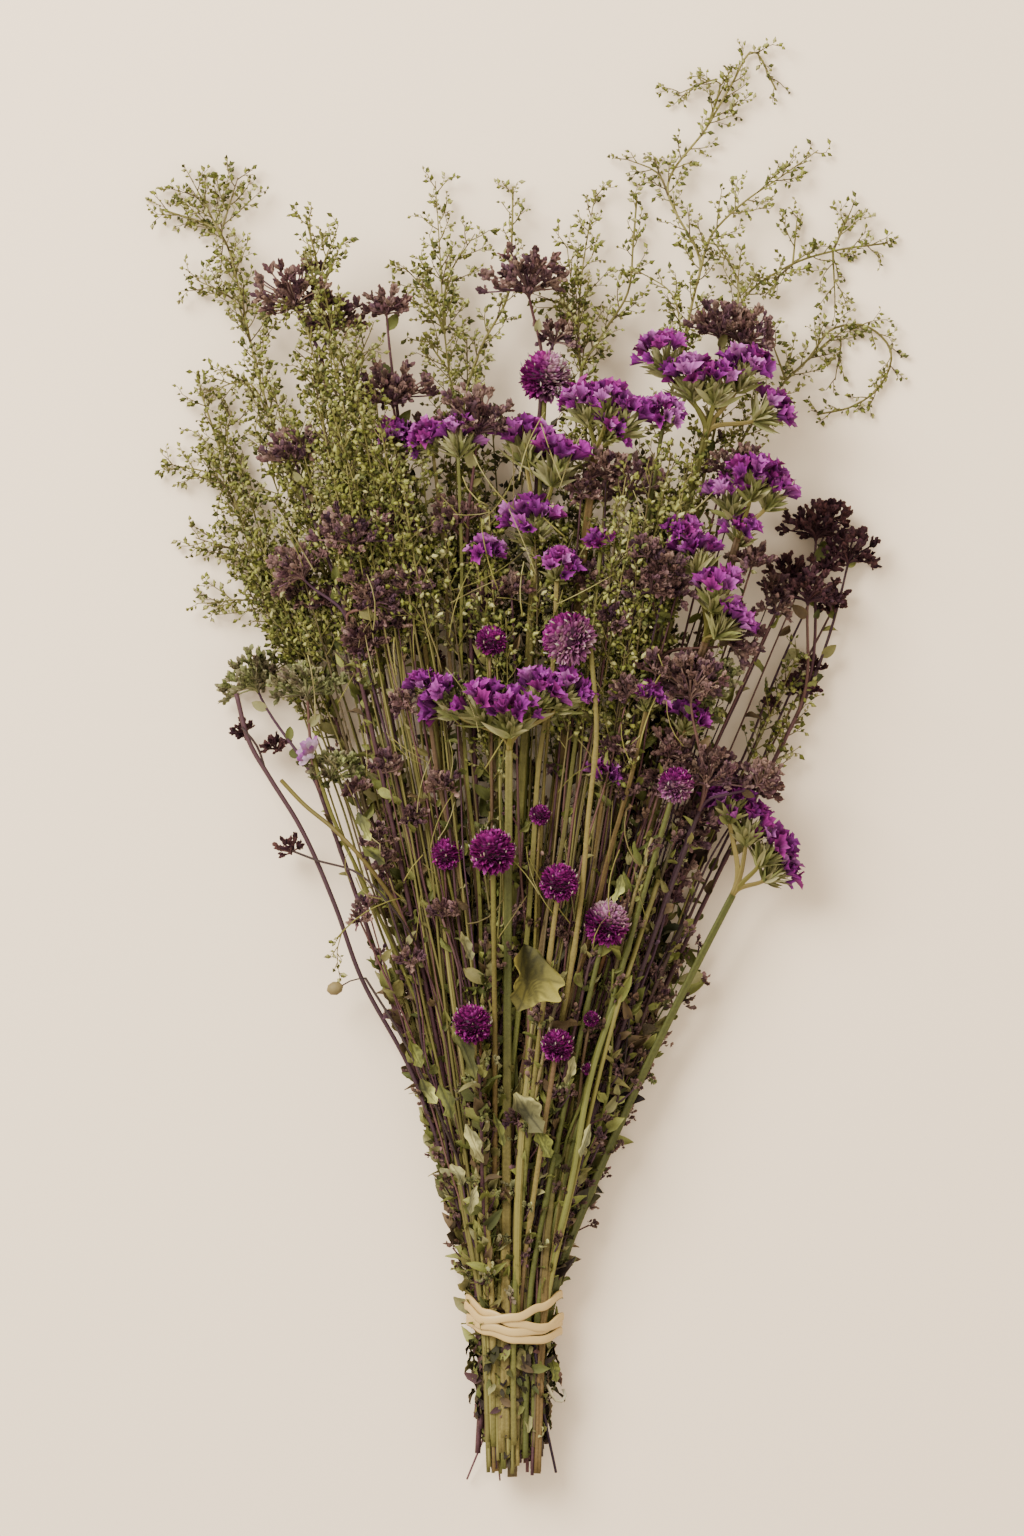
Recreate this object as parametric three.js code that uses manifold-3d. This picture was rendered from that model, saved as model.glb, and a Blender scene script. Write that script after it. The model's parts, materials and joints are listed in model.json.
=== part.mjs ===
// A bunch of dried flowers held by a rubber band, lying on a table.
//
// Millimetres. +Y runs from the cut ends to the flower tips, +Z is up off the table. The origin is under the
// middle of the bunch, on the table. Every stalk is a tube that passes through the tie and fans out to its
// flower. The stalks start on smooth guide lines, and are then pushed apart until no two touch, as real ones
// are in a bunch.
import * as THREE from "three";
import { mergeVertices } from "three/addons/utils/BufferGeometryUtils.js";
import Module from "manifold-3d";

const wasm = await Module();
wasm.setup();

// ---- Driving dimensions -------------------------------------------------------------------------------

const BUNCH_WIDTH = 263; // over the tips of the widest sprays
const FAN_LENGTH = 455; // from the tie to the tip of the longest spray
const FAN_HEIGHT = 60; // from the table to the middle of the topmost flower
const TAIL_LONGEST = 58; // from the tie down to the longest cut end
const TAIL_SHORTEST = 42;
const TAIL_SIDES = 0.76; // length of the cut ends at either side as a share of those in the middle
const TAIL_NARROWING = 0.9; // width of the cut ends as a share of the width at the tie
const TIE_ASIDE = 5.5; // how far the tie lies to the left of the fan's middle line

const TIE_HALF_WIDTH = 13.5; // of the stalks inside the band
const TIE_HALF_HEIGHT = 9.5;
const BAND_THICKNESS = 1.2;
const BAND_WIDTH = 3.4;
const BAND_TURNS = 3;
const BAND_PITCH = 3.2; // from one turn to the next, along the bunch
const BAND_SLANT = 3.4; // how far a turn climbs from one side of the bunch to the other

const CLEARANCE = 0.4; // between pieces that touch, such as a stalk and the flower it carries
const BAND_CLEARANCE = 0.7; // more, because the band's sides are straight between its corners
const STALK_GAP = 0.8; // the least gap that the settling leaves between stalks

const FAN_CURVE = 1.2; // above 1, stalks leave the tie side by side and spread later
const STALK_STEP = 32; // between the rings of a stalk
const TWIG_STEP = 22;
const CURL_STEP = 13; // for the spray whose tip curls round

// ---- Species ------------------------------------------------------------------------------------------

// radius and sides are the stalk's, twig is the radius of what forks from it, back is how far below the
// middle of its flowers a stalk ends, and socket is how deep it sits in its flower. waist is the radius between
// the wings of a winged stalk, as a share of its radius, and hub is the radius of the knot where twigs part.
const PLAIN = { sides: 5, waist: 1, back: 0, hub: 0, socket: 2 };
const AMARANTH = { ...PLAIN, name: "amaranth", radius: 1.15, twig: 1.15 };
const STATICE = {
  ...PLAIN,
  name: "statice",
  radius: 2.2,
  sides: 8,
  waist: 0.7,
  twig: 1.1,
  back: 20,
  hub: 4.4,
};
const OREGANO = { ...PLAIN, name: "oregano", radius: 1.1, twig: 0.7, back: 26, hub: 3 };
const SPRAY = { ...PLAIN, name: "green_spray", radius: 0.95, twig: 0.5, socket: 0 };

// ---- Where everything sits ----------------------------------------------------------------------------

// A place is [across, along, lift]: across is a percentage of half the bunch's width, along one of the fan's
// length from the tie, and lift one of the fan's height. A flower's radius, in millimetres, comes last.
const AMARANTHS = [
  { flowers: [[5, 73.4, 62, 9.8]] },
  { flowers: [[10.2, 53, 100, 10]], via: [[12, 30, 74], [17, 46, 96], [19.4, 51.8, 102]] },
  { flowers: [[-8.5, 36.7, 88, 8.6]] },
  { flowers: [[9.9, 34.2, 84, 7.2]] },
  { flowers: [[21.8, 31, 68, 8.6]] },
  { flowers: [[-13.4, 23.3, 70, 7.4]] },
  { flowers: [[6.6, 21.8, 64, 6.2]] },
  { flowers: [[41.1, 42, 76, 6.8]] },
];

const STATICES = [
  {
    flowers: [
      [35, 75.6, 66, 7], [43, 73.6, 74, 7], [51, 73.4, 72, 7],
      [59, 74.4, 66, 7], [67, 71, 58, 6.5],
    ],
  },
  { flowers: [[15, 71.5, 78, 6.5], [21.5, 71.8, 82, 6.5], [28, 70.6, 80, 6.5]] },
  { flowers: [[-1.5, 69, 76, 7.5], [8.5, 67.4, 82, 8], [1, 62.6, 86, 7.5]] },
  { flowers: [[54, 64.6, 66, 6.5], [61, 66, 70, 7], [67, 64.8, 64, 6]] },
  { flowers: [[45, 60, 84, 6.5], [51, 57.4, 86, 7], [55, 54.8, 80, 6.5]] },
  {
    flowers: [
      [-23, 48.6, 88, 6.5], [-14, 48.4, 94, 7], [-4, 47.8, 99, 7.5],
      [4.5, 49.4, 98, 7], [12.5, 49.2, 94, 6.5],
    ],
  },
  { flowers: [[54, 41.2, 50, 7], [60, 39.2, 46, 7], [66, 37.4, 38, 7], [69, 35.4, 30, 6]] },
];

const OREGANOS = [
  { flowers: [[-63.9, 81.3, 50, 11], [-54, 79.4, 56, 9.5]] },
  { flowers: [[-38.1, 79.7, 56, 6], [-36.8, 73.8, 66, 11], [-31, 69.6, 58, 8]] },
  { flowers: [[-0.4, 82.5, 46, 11], [9.9, 77.4, 36, 5.5]] },
  { flowers: [[-12.3, 71.4, 80, 11.5], [-21.5, 63.1, 76, 7]] },
  { flowers: [[52, 78.6, 44, 8.5], [60, 78, 46, 9]] },
  { flowers: [[-45.7, 62.5, 90, 10.5], [-37, 57.3, 84, 9], [-63.4, 59.4, 58, 8], [-63.4, 68.7, 52, 8.5]] },
  { flowers: [[-75.6, 51.1, 14, 9], [-59.3, 50.5, 44, 8.5], [-51.2, 43.8, 52, 8]] },
  {
    flowers: [
      [79.1, 63.2, 15, 9], [88.6, 60.9, 13, 7.5], [76.5, 58, 30, 8.5],
      [84.5, 56, 10, 6], [75.3, 49.9, 8, 4.5],
    ],
  },
  { flowers: [[43.8, 50.7, 82, 9.5], [49, 43.6, 66, 9.5], [65.5, 42.6, 66, 6]] },
  { flowers: [[26.2, 66.2, 66, 9], [33, 58.4, 88, 8.5], [58.8, 54, 56, 8]] },
];

// A spray runs through its via places, the last of which is its tip. Each fork leaves the main twig where that
// is nearest to a share of the fan's length, and runs through places of its own.
const SPRAYS = [
  {
    via: [[-54, 59.3, 40], [-72.3, 73.1, 26], [-79.1, 82.7, 14], [-91, 89.3, 5]],
    forks: [[76, [-90, 81.5, 8]], [81, [-98.6, 87, 4]], [84.5, [-78.5, 89.5, 8]], [70, [-87, 72.6, 10]]],
  },
  {
    via: [[-54, 49.1, 34], [-72.3, 58.3, 18], [-82, 66.4, 12], [-89, 73, 5]],
    forks: [[62, [-97, 67, 4]], [64, [-80, 71, 14]], [56, [-90, 61.2, 6]], [52, [-87, 56, 4]]],
  },
  {
    via: [[-27, 48.3, 66], [-41, 62.5, 76], [-50, 72.7, 72], [-61, 85.6, 46]],
    forks: [
      [66, [-60, 75, 58]], [69, [-42, 76.5, 86]], [75, [-70, 79, 44]],
      [77, [-51, 85, 54]], [60, [-29, 66.4, 90]],
    ],
  },
  {
    via: [[-8, 56.2, 52], [-20, 71.9, 40], [-24.8, 89.2, 9]],
    forks: [
      [74, [-33.5, 82.5, 16]], [77, [-14, 85, 16]],
      [67, [-6, 79, 30], [-3.7, 88.8, 8]], [70, [-28, 77, 34]],
    ],
  },
  {
    via: [[17, 53, 62], [15, 71.9, 44], [11, 84, 12]],
    forks: [[74, [19, 88.6, 8]], [70, [26, 79, 24], [30, 88, 8]], [76, [3, 80, 20]]],
  },
  {
    via: [[31, 56.2, 58], [38, 71.9, 44], [47.4, 80.9, 26], [38.4, 87.2, 14], [49.8, 93.7, 8], [61, 99.7, 4]],
    forks: [
      [81, [58.8, 87.4, 14], [79.4, 91.7, 4]],
      [87, [27, 91, 6]],
      [93.5, [40, 96, 4]],
      [96.5, [68, 96.4, 4]],
      [74, [30, 82, 28]],
    ],
  },
  {
    via: [[42, 59.3, 60], [51, 70.4, 30], [62.8, 81.7, 16], [98.4, 84.4, 4]],
    forks: [[81, [73.7, 86.6, 6]], [82.5, [84, 79.6, 5]], [77, [50, 84.6, 22]], [83.6, [89, 87.4, 4]]],
  },
  {
    step: CURL_STEP,
    via: [
      [47, 54.3, 46], [57, 68, 34], [73.7, 74.2, 12], [87.2, 78.2, 5],
      [99, 76.2, 4], [94, 72.3, 4], [79, 70.9, 4],
    ],
    forks: [[71, [66, 77, 14]], [75, [84, 73.6, 5]]],
  },
];

// The one large withered leaf lies on the stalks.
const LEAF = { middle: [-0.9, 26.4], length: 30, width: 17, thickness: 0.9, turn: 2.5, petiole: 0.7 };

// ---- Small helpers ------------------------------------------------------------------------------------

const PERCENT = 0.01;
const GOLDEN = 0.618034;
const FLOOR_AT_TIE = BAND_THICKNESS + 2 * BAND_CLEARANCE; // the band passes under the stalks there
const TIE_MIDDLE = FLOOR_AT_TIE + TIE_HALF_HEIGHT;

const placeOf = ([across, along, lift]) =>
  new THREE.Vector3(
    TIE_ASIDE + across * PERCENT * (BUNCH_WIDTH / 2),
    along * PERCENT * FAN_LENGTH,
    lift * PERCENT * FAN_HEIGHT,
  );

const scatter = (i) => (i * GOLDEN) % 1; // an even, repeatable scatter from 0 to 1
const lerp = THREE.MathUtils.lerp;
const clamp = THREE.MathUtils.clamp;

const lineOf = (points) => new THREE.CatmullRomCurve3(points, false, "centripetal");

// Points of a smooth curve through the given ones, no further apart than step.
function resample(points, step) {
  const curve = lineOf(points);
  return curve.getSpacedPoints(Math.max(2, Math.ceil(curve.getLength() / step)));
}

// The position in points that is nearest to a height y: a segment's number and the share along it.
function nearestAt(points, y) {
  let best = { segment: points.length - 2, share: 1, miss: Math.abs(points.at(-1).y - y) };
  for (let i = 0; i < points.length - 1; i++) {
    const rise = points[i + 1].y - points[i].y;
    const share = clamp(rise === 0 ? 0 : (y - points[i].y) / rise, 0, 1);
    const miss = Math.abs(lerp(points[i].y, points[i + 1].y, share) - y);
    if (miss < best.miss - 1e-6) best = { segment: i, share, miss };
  }
  return best;
}

// ---- Strands: the lines that stalks and twigs follow ---------------------------------------------------

// A strand has points, a radius, the sprig it belongs to, and maybe a parent that it grows from and a
// flower on its last point.
function strand(sprig, radius, points, more = {}) {
  return { sprig, radius, points, start: points.map((p) => p.clone()), flower: null, parent: null, ...more };
}

// Where each sprig passes through the tie: ranked by the way it leans across and up, and spread evenly over
// the tie's oval, so that stalks leave the tie in the order in which they fan out.
function tiePlaces(sprigs) {
  const lean = sprigs.map(({ goal }) => [goal.x / goal.y, (goal.z - TIE_MIDDLE) / goal.y]);
  const rank = (k) => {
    const order = lean.map((_, i) => i).sort((a, b) => lean[a][k] - lean[b][k]);
    return lean.map((_, i) => (2 * order.indexOf(i) + 1) / lean.length - 1);
  };
  const [across, up] = [rank(0), rank(1)];
  return sprigs.map((_, i) => {
    const x = TIE_HALF_WIDTH * across[i] * Math.sqrt(1 - (up[i] * up[i]) / 2);
    const z = TIE_HALF_HEIGHT * up[i] * Math.sqrt(1 - (across[i] * across[i]) / 2);
    return new THREE.Vector3(x, 0, TIE_MIDDLE + z);
  });
}

// From the cut end through the tie, out along the fan, and on through the sprig's own places.
function stalkLine(sprig, tie, index) {
  const { via, goal } = sprig;
  const middle = index === 0 ? TAIL_LONGEST : lerp(TAIL_SHORTEST, TAIL_LONGEST, 0.7 * scatter(index));
  const tail = middle * lerp(1, TAIL_SIDES, Math.pow(tie.x / TIE_HALF_WIDTH, 2));
  const cut = new THREE.Vector3(tie.x * TAIL_NARROWING, -tail, lerp(tie.z, TIE_MIDDLE, 0.2));
  const first = via.length ? via[0] : goal;
  const fan = [0.2, 0.4, 0.6, 0.8].map((t) => {
    const out = Math.pow(t, FAN_CURVE);
    return new THREE.Vector3(lerp(tie.x, first.x, out), lerp(0, first.y, t), lerp(tie.z, first.z, out));
  });
  return [cut, tie.clone(), ...fan, ...via, ...(via.at(-1) === goal ? [] : [goal])];
}

// A sprig's stalk ends a little before the middle of its flowers, on the line from the tie.
function goalOf(flowers, species, via) {
  const middle = flowers.reduce((sum, f) => sum.add(f.at), new THREE.Vector3()).divideScalar(flowers.length);
  const from = via.length ? via.at(-1) : new THREE.Vector3(middle.x * 0.35, middle.y * 0.35, TIE_MIDDLE);
  const lowest = Math.min(...flowers.map((f) => f.at.y));
  const way = middle.clone().sub(from).normalize();
  if (flowers.length === 1) return middle.clone().addScaledVector(way, species.socket - flowers[0].radius);
  const goal = middle.clone().addScaledVector(way, -species.back);
  goal.y = Math.min(goal.y, lowest - 0.5 * species.back); // twigs only ever grow forwards
  return goal;
}

function sprigsOf(species, list) {
  return list.map(({ flowers = [], via = [], forks = [], step = STALK_STEP }, i) => {
    const blooms = flowers.map((f) => ({ at: placeOf(f), radius: f[3] }));
    const through = via.map(placeOf);
    const goal = blooms.length ? goalOf(blooms, species, through) : through.at(-1);
    return { species, number: i + 1, blooms, via: through, forks, goal, step };
  });
}

const sprigs = [
  ...sprigsOf(STATICE, STATICES),
  ...sprigsOf(AMARANTH, AMARANTHS),
  ...sprigsOf(OREGANO, OREGANOS),
  ...sprigsOf(SPRAY, SPRAYS),
];

const strands = [];
const ties = tiePlaces(sprigs);
sprigs.forEach((sprig, i) => {
  const { species, blooms, forks, step } = sprig;
  const line = stalkLine(sprig, ties[i], i);
  sprig.stalk = strand(sprig, species.radius, resample(line, step), {
    floor: FLOOR_AT_TIE,
    hub: species.hub,
  });
  sprig.twigs = [];
  strands.push(sprig.stalk);
  if (blooms.length === 1 && species.back === 0) {
    sprig.stalk.flower = blooms[0];
    return;
  }
  const grow = (from, points, flower) => {
    const twig = strand(sprig, species.twig, resample(points, TWIG_STEP), { parent: from, flower });
    sprig.twigs.push(twig);
    strands.push(twig);
  };
  for (const bloom of blooms) {
    const from = sprig.stalk.points.at(-1);
    const bend = new THREE.Vector3(
      lerp(from.x, bloom.at.x, 0.55),
      lerp(from.y, bloom.at.y, 0.35),
      lerp(from.z, bloom.at.z, 0.6),
    );
    const neck = bloom.at.clone().sub(bend).setLength(bloom.radius * 0.6);
    const end = { segment: sprig.stalk.points.length - 2, share: 1 };
    const ending = { ...bloom, offset: neck };
    grow(end, [from, bend, bloom.at.clone().sub(neck)], ending);
  }
  for (const [along, ...places] of forks) {
    const at = nearestAt(sprig.stalk.points, along * PERCENT * FAN_LENGTH);
    const [before, after] = sprig.stalk.points.slice(at.segment, at.segment + 2);
    const root = before.clone().lerp(after, at.share);
    const ahead = after.clone().sub(before).setLength(TWIG_STEP);
    const first = root.clone().add(ahead).lerp(placeOf(places[0]), 0.3);
    grow(at, [root, first, ...places.map(placeOf)], null);
  }
});

// ---- Settling: push strands and flowers apart ----------------------------------------------------------

const ROUNDS = 320;
const SQUEEZE = 0.01; // how much of its distance from the tie's middle a stalk gives up in each round
const STIFFNESS = 0.12; // how far a point's push is shared with its neighbours

// A capsule between two moving points, or a ball round one of them.
function capsules() {
  const found = [];
  for (const s of strands) {
    for (let i = 0; i < s.points.length - 1; i++)
      found.push({ s, i, j: i + 1, radius: s.radius, ball: null });
    const last = s.points.length - 1;
    if (s.hub) found.push({ s, i: last, j: last, radius: s.hub, ball: new THREE.Vector3() });
    if (s.flower) {
      const back = s.flower.offset ?? s.flower.at.clone().sub(s.points[last]);
      s.flower.offset = back;
      found.push({ s, i: last, j: last, radius: s.flower.radius, ball: back });
    }
  }
  return found;
}

const a0 = new THREE.Vector3();
const a1 = new THREE.Vector3();
const b0 = new THREE.Vector3();
const b1 = new THREE.Vector3();
const u = new THREE.Vector3();
const v = new THREE.Vector3();
const w = new THREE.Vector3();
const push = new THREE.Vector3();

function ends(c, from, to) {
  from.copy(c.s.points[c.i]);
  to.copy(c.s.points[c.j]);
  if (!c.ball) return;
  from.add(c.ball);
  to.add(c.ball);
}

// Shares along a0-a1 and b0-b1 of the points where the two segments come nearest to each other.
function nearest() {
  u.subVectors(a1, a0);
  v.subVectors(b1, b0);
  w.subVectors(a0, b0);
  const [uu, vv, uv, uw, vw] = [u.dot(u), v.dot(v), u.dot(v), u.dot(w), v.dot(w)];
  const spread = uu * vv - uv * uv;
  let s = spread > 1e-9 ? clamp((uv * vw - vv * uw) / spread, 0, 1) : 0;
  let t = vv > 1e-9 ? (uv * s + vw) / vv : 0;
  if (t < 0 || t > 1) {
    t = clamp(t, 0, 1);
    s = uu > 1e-9 ? clamp((uv * t - uw) / uu, 0, 1) : 0;
  } else if (vv <= 1e-9 && uu > 1e-9) {
    s = clamp(-uw / uu, 0, 1);
  }
  return [s, t];
}

// The gap between the boxes round the two segments, along one axis.
function gapAlong(axis) {
  const middles = Math.abs(a0[axis] + a1[axis] - b0[axis] - b1[axis]) / 2;
  return middles - (Math.abs(a0[axis] - a1[axis]) + Math.abs(b0[axis] - b1[axis])) / 2;
}

function separate(c, d) {
  ends(c, a0, a1);
  ends(d, b0, b1);
  const least = c.radius + d.radius + STALK_GAP;
  if (gapAlong("y") > least || gapAlong("x") > least) return 0;
  const [s, t] = nearest();
  push.copy(a0).addScaledVector(u, s).sub(b0).addScaledVector(v, -t);
  const apart = push.length();
  if (apart >= least) return 0;
  if (apart < 1e-6) push.set(0, 0, 1);
  else push.divideScalar(apart);
  const depth = least - apart;
  const heavy = d.radius / (c.radius + d.radius); // the bigger of the two gives way less
  c.s.points[c.i].addScaledVector(push, depth * heavy * (1 - s));
  c.s.points[c.j].addScaledVector(push, depth * heavy * (c.i === c.j ? 0 : s));
  if (c.i === c.j) c.s.points[c.i].addScaledVector(push, depth * heavy * s);
  d.s.points[d.i].addScaledVector(push, -depth * (1 - heavy) * (1 - t));
  d.s.points[d.j].addScaledVector(push, -depth * (1 - heavy) * (d.i === d.j ? 0 : t));
  if (d.i === d.j) d.s.points[d.i].addScaledVector(push, -depth * (1 - heavy) * t);
  return depth;
}

// Bends a strand smoothly: each point takes part of the average move of its two neighbours.
function smooth({ points, start }) {
  const moves = points.map((p, i) => p.clone().sub(start[i]));
  for (let i = 1; i < points.length - 1; i++) {
    const around = moves[i - 1].clone().add(moves[i + 1]).multiplyScalar(0.5);
    points[i].copy(start[i]).add(moves[i].lerp(around, STIFFNESS));
  }
}

function restOnTable(s) {
  const last = s.points.length - 1;
  s.points.forEach((p) => {
    const nearTie = s.floor ? s.floor * clamp(1 - Math.abs(p.y) / TAIL_LONGEST, 0, 1) : 0;
    p.z = Math.max(p.z, s.radius + nearTie);
  });
  if (!s.flower) return;
  const low = s.points[last].z + s.flower.offset.z - s.flower.radius;
  if (low < 0) s.points[last].z -= low;
}

function settle() {
  const all = capsules();
  let worst = 0;
  for (let round = 0; round < ROUNDS; round++) {
    const easing = round < ROUNDS * 0.7; // the last rounds only push apart
    worst = 0;
    for (const s of strands) {
      if (easing) smooth(s);
      if (s.parent) {
        const { segment, share } = s.parent;
        s.points[0].copy(s.sprig.stalk.points[segment]).lerp(s.sprig.stalk.points[segment + 1], share);
      } else if (easing) {
        for (const p of s.points)
          if (p.y < TIE_HALF_WIDTH) {
            p.x *= 1 - SQUEEZE;
            p.z += (TIE_MIDDLE - p.z) * SQUEEZE;
          }
      }
      restOnTable(s);
    }
    for (let i = 0; i < all.length; i++)
      for (let j = i + 1; j < all.length; j++)
        if (all[i].s.sprig !== all[j].s.sprig) worst = Math.max(worst, separate(all[i], all[j]));
  }
  return worst;
}

settle();

// ---- Solids -------------------------------------------------------------------------------------------

function solidOf(geometry) {
  const bare = geometry.clone();
  bare.deleteAttribute("normal");
  bare.deleteAttribute("uv");
  const merged = mergeVertices(bare, 1e-4);
  const mesh = new wasm.Mesh({
    numProp: 3,
    vertProperties: merged.attributes.position.array,
    triVerts: new Uint32Array(merged.index.array),
  });
  return new wasm.Manifold(mesh);
}

function geometryOf(solid) {
  const mesh = solid.getMesh();
  const found = new THREE.BufferGeometry();
  found.setAttribute("position", new THREE.BufferAttribute(new Float32Array(mesh.vertProperties), 3));
  found.setIndex(new THREE.BufferAttribute(new Uint32Array(mesh.triVerts), 1));
  found.computeVertexNormals();
  return found;
}

// A waist below 1 draws in every other corner, which leaves wings.
function polygon(radius, sides, waist) {
  const corners = Array.from({ length: sides }, (_, i) => {
    const angle = (2 * Math.PI * i) / sides;
    const reach = i % 2 ? radius * waist : radius;
    return new THREE.Vector2(reach * Math.cos(angle), reach * Math.sin(angle));
  });
  return new THREE.Shape(corners);
}

function tube(points, radius, sides, waist = 1) {
  return new THREE.ExtrudeGeometry(polygon(radius, sides, waist), {
    steps: points.length - 1,
    extrudePath: lineOf(points),
    bevelEnabled: false,
  });
}

// The last part of a stalk, fatter by the clearance, which its flower is cut by.
function socketOf(sprig) {
  const { points, radius } = sprig.stalk;
  const near = points.slice(-4);
  const beyond = near.at(-1).clone().sub(near.at(-2)).setLength(CLEARANCE).add(near.at(-1));
  return solidOf(tube([...near, beyond], radius + CLEARANCE, sprig.species.sides));
}

// Flower shapes as profiles [radius, height] from the underside to the top, in shares of the flower's radius.
const GLOBE = [[0, -0.98], [0.55, -0.8], [0.94, -0.3], [0.94, 0.3], [0.55, 0.8], [0, 0.98]];
const DOME = [[0, -0.95], [0.5, -0.6], [0.9, 0.2], [0.6, 0.72], [0, 0.94]];
const TRUMPET = [[0, -0.95], [0.45, -0.5], [0.9, 0.35], [0.5, 0.72], [0, 0.82]];

function flowerSolid(profile, radius, at, way, sides) {
  const outline = profile.map(([r, h]) => new THREE.Vector2(r * radius, h * radius));
  const shape = new THREE.LatheGeometry(outline, sides);
  const turned = new THREE.Quaternion().setFromUnitVectors(new THREE.Vector3(0, 1, 0), way);
  shape.applyQuaternion(turned);
  shape.translate(at.x, at.y, at.z);
  return solidOf(shape);
}

const bunch = new THREE.Group();

function addMesh(name, geometry, material) {
  const mesh = new THREE.Mesh(geometry, material);
  mesh.name = name;
  bunch.add(mesh);
}

const finish = (color, roughness) => new THREE.MeshStandardMaterial({ color, roughness, metalness: 0 });

const STALK_FINISH = {
  amaranth: finish(0x8d8a4a, 0.8),
  statice: finish(0x8a8f4b, 0.8),
  oregano: finish(0x5a3b3c, 0.8),
  green_spray: finish(0x9a9a5c, 0.85),
};
const FLOWER_FINISH = {
  amaranth: finish(0x7a0a6b, 0.75),
  statice: finish(0x8b35b4, 0.7),
  oregano: finish(0x4f2c36, 0.85),
};
const FLOWER_PROFILE = { amaranth: GLOBE, statice: TRUMPET, oregano: DOME };
const FLOWER_SIDES = { amaranth: 9, statice: 6, oregano: 7 };
const TWIG_SIDES = 4;
const FLOWER_NAME = { amaranth: "flower_head", statice: "flower_cluster", oregano: "flower_top" };

function flowerAt(sprig, s) {
  const at = s.points.at(-1).clone().add(s.flower.offset);
  const way = s.flower.offset.clone().normalize();
  const kind = sprig.species.name;
  return flowerSolid(FLOWER_PROFILE[kind], s.flower.radius, at, way, FLOWER_SIDES[kind]);
}

// The flowers of one sprig and the twigs that carry them, as one body with a socket for the stalk.
function flowerTop(sprig) {
  let body = sprig.stalk.flower ? flowerAt(sprig, sprig.stalk) : null;
  for (const twig of sprig.twigs) {
    const line = [...twig.points, twig.points.at(-1).clone().addScaledVector(twig.flower.offset, 0.5)];
    const piece = solidOf(tube(line, twig.radius, TWIG_SIDES)).add(flowerAt(sprig, twig));
    body = body ? body.add(piece) : piece;
  }
  if (sprig.twigs.length) {
    const hub = new THREE.OctahedronGeometry(sprig.species.hub * 1.1);
    const tip = sprig.stalk.points.at(-1);
    body = body.add(solidOf(hub.translate(tip.x, tip.y, tip.z)));
  }
  return body.subtract(socketOf(sprig));
}

function spraySolid(sprig) {
  let body = solidOf(tube(sprig.stalk.points, sprig.species.radius, sprig.species.sides));
  for (const twig of sprig.twigs) {
    const knot = new THREE.OctahedronGeometry(sprig.species.radius * 1.8);
    const root = twig.points[0];
    body = body.add(solidOf(tube(twig.points, twig.radius, TWIG_SIDES)));
    body = body.add(solidOf(knot.translate(root.x, root.y, root.z)));
  }
  return body;
}

for (const sprig of sprigs) {
  const { name } = sprig.species;
  if (sprig.species === SPRAY) {
    addMesh(`${name}_${sprig.number}`, geometryOf(spraySolid(sprig)), STALK_FINISH[name]);
    continue;
  }
  const { radius, sides, waist } = sprig.species;
  const stalk = tube(sprig.stalk.points, radius, sides, waist);
  addMesh(`${name}_stalk_${sprig.number}`, stalk, STALK_FINISH[name]);
  addMesh(`${name}_${FLOWER_NAME[name]}_${sprig.number}`, geometryOf(flowerTop(sprig)), FLOWER_FINISH[name]);
}

// ---- Rubber band --------------------------------------------------------------------------------------

const BAND_REACH = BAND_WIDTH / 2 + (BAND_PITCH * (BAND_TURNS - 1)) / 2 + BAND_SLANT;
const BAND_SEGMENTS = 32;
const BAND_SIDES = 4;
const DIRECTIONS = 72;

// The discs that the stalks make in the planes that the band crosses.
const planes = [-1, -0.75, -0.5, -0.25, 0, 0.25, 0.5, 0.75, 1].map((share) => share * BAND_REACH);
const tied = sprigs.flatMap(({ stalk }) => {
  const rings = lineOf(stalk.points).getSpacedPoints(stalk.points.length - 1);
  return planes.map((y) => {
    const { segment, share } = nearestAt(rings, y);
    const at = rings[segment].clone().lerp(rings[segment + 1], share);
    return { x: at.x, z: at.z - TIE_MIDDLE, radius: stalk.radius };
  });
});

// How far the stalks reach in each direction, which is what a tight band follows.
const support = Array.from({ length: DIRECTIONS }, (_, k) => {
  const angle = (2 * Math.PI * k) / DIRECTIONS;
  return Math.max(...tied.map((d) => d.x * Math.cos(angle) + d.z * Math.sin(angle) + d.radius));
});

// The distance from the tie's middle to a band that lies offset outside the stalks, in the direction angle.
function bandDistance(angle, offset) {
  let reach = Infinity;
  support.forEach((h, k) => {
    const turn = Math.cos((2 * Math.PI * k) / DIRECTIONS - angle);
    if (turn > 0.2) reach = Math.min(reach, (h + offset) / turn);
  });
  return reach;
}

// One turn: a torus reshaped to the stalks, as wide as the band, and slanted so that it crosses its neighbour.
function bandTurn(index) {
  const ring = new THREE.TorusGeometry(1, 0.4, BAND_SIDES, BAND_SEGMENTS);
  const middle = (index - (BAND_TURNS - 1) / 2) * BAND_PITCH;
  const slant = index % 2 === 0 ? BAND_SLANT : -BAND_SLANT;
  const at = ring.attributes.position;
  for (let i = 0; i < at.count; i++) {
    const [x, y, z] = [at.getX(i), at.getY(i), at.getZ(i)];
    const angle = Math.atan2(y, x);
    const out = (Math.hypot(x, y) - 1) / 0.4; // from -1 inside to 1 outside
    const side = z / 0.4;
    const distance = bandDistance(angle, BAND_CLEARANCE + (BAND_THICKNESS / 2) * (1 + out));
    const along = middle + side * (BAND_WIDTH / 2) + (slant / 2) * Math.cos(angle);
    at.setXYZ(i, distance * Math.cos(angle), -along, TIE_MIDDLE + distance * Math.sin(angle));
  }
  return solidOf(ring);
}

let band = bandTurn(0);
for (let turn = 1; turn < BAND_TURNS; turn++) band = band.add(bandTurn(turn));
addMesh("rubber_band", geometryOf(band), finish(0xd9c39a, 0.55));

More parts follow.
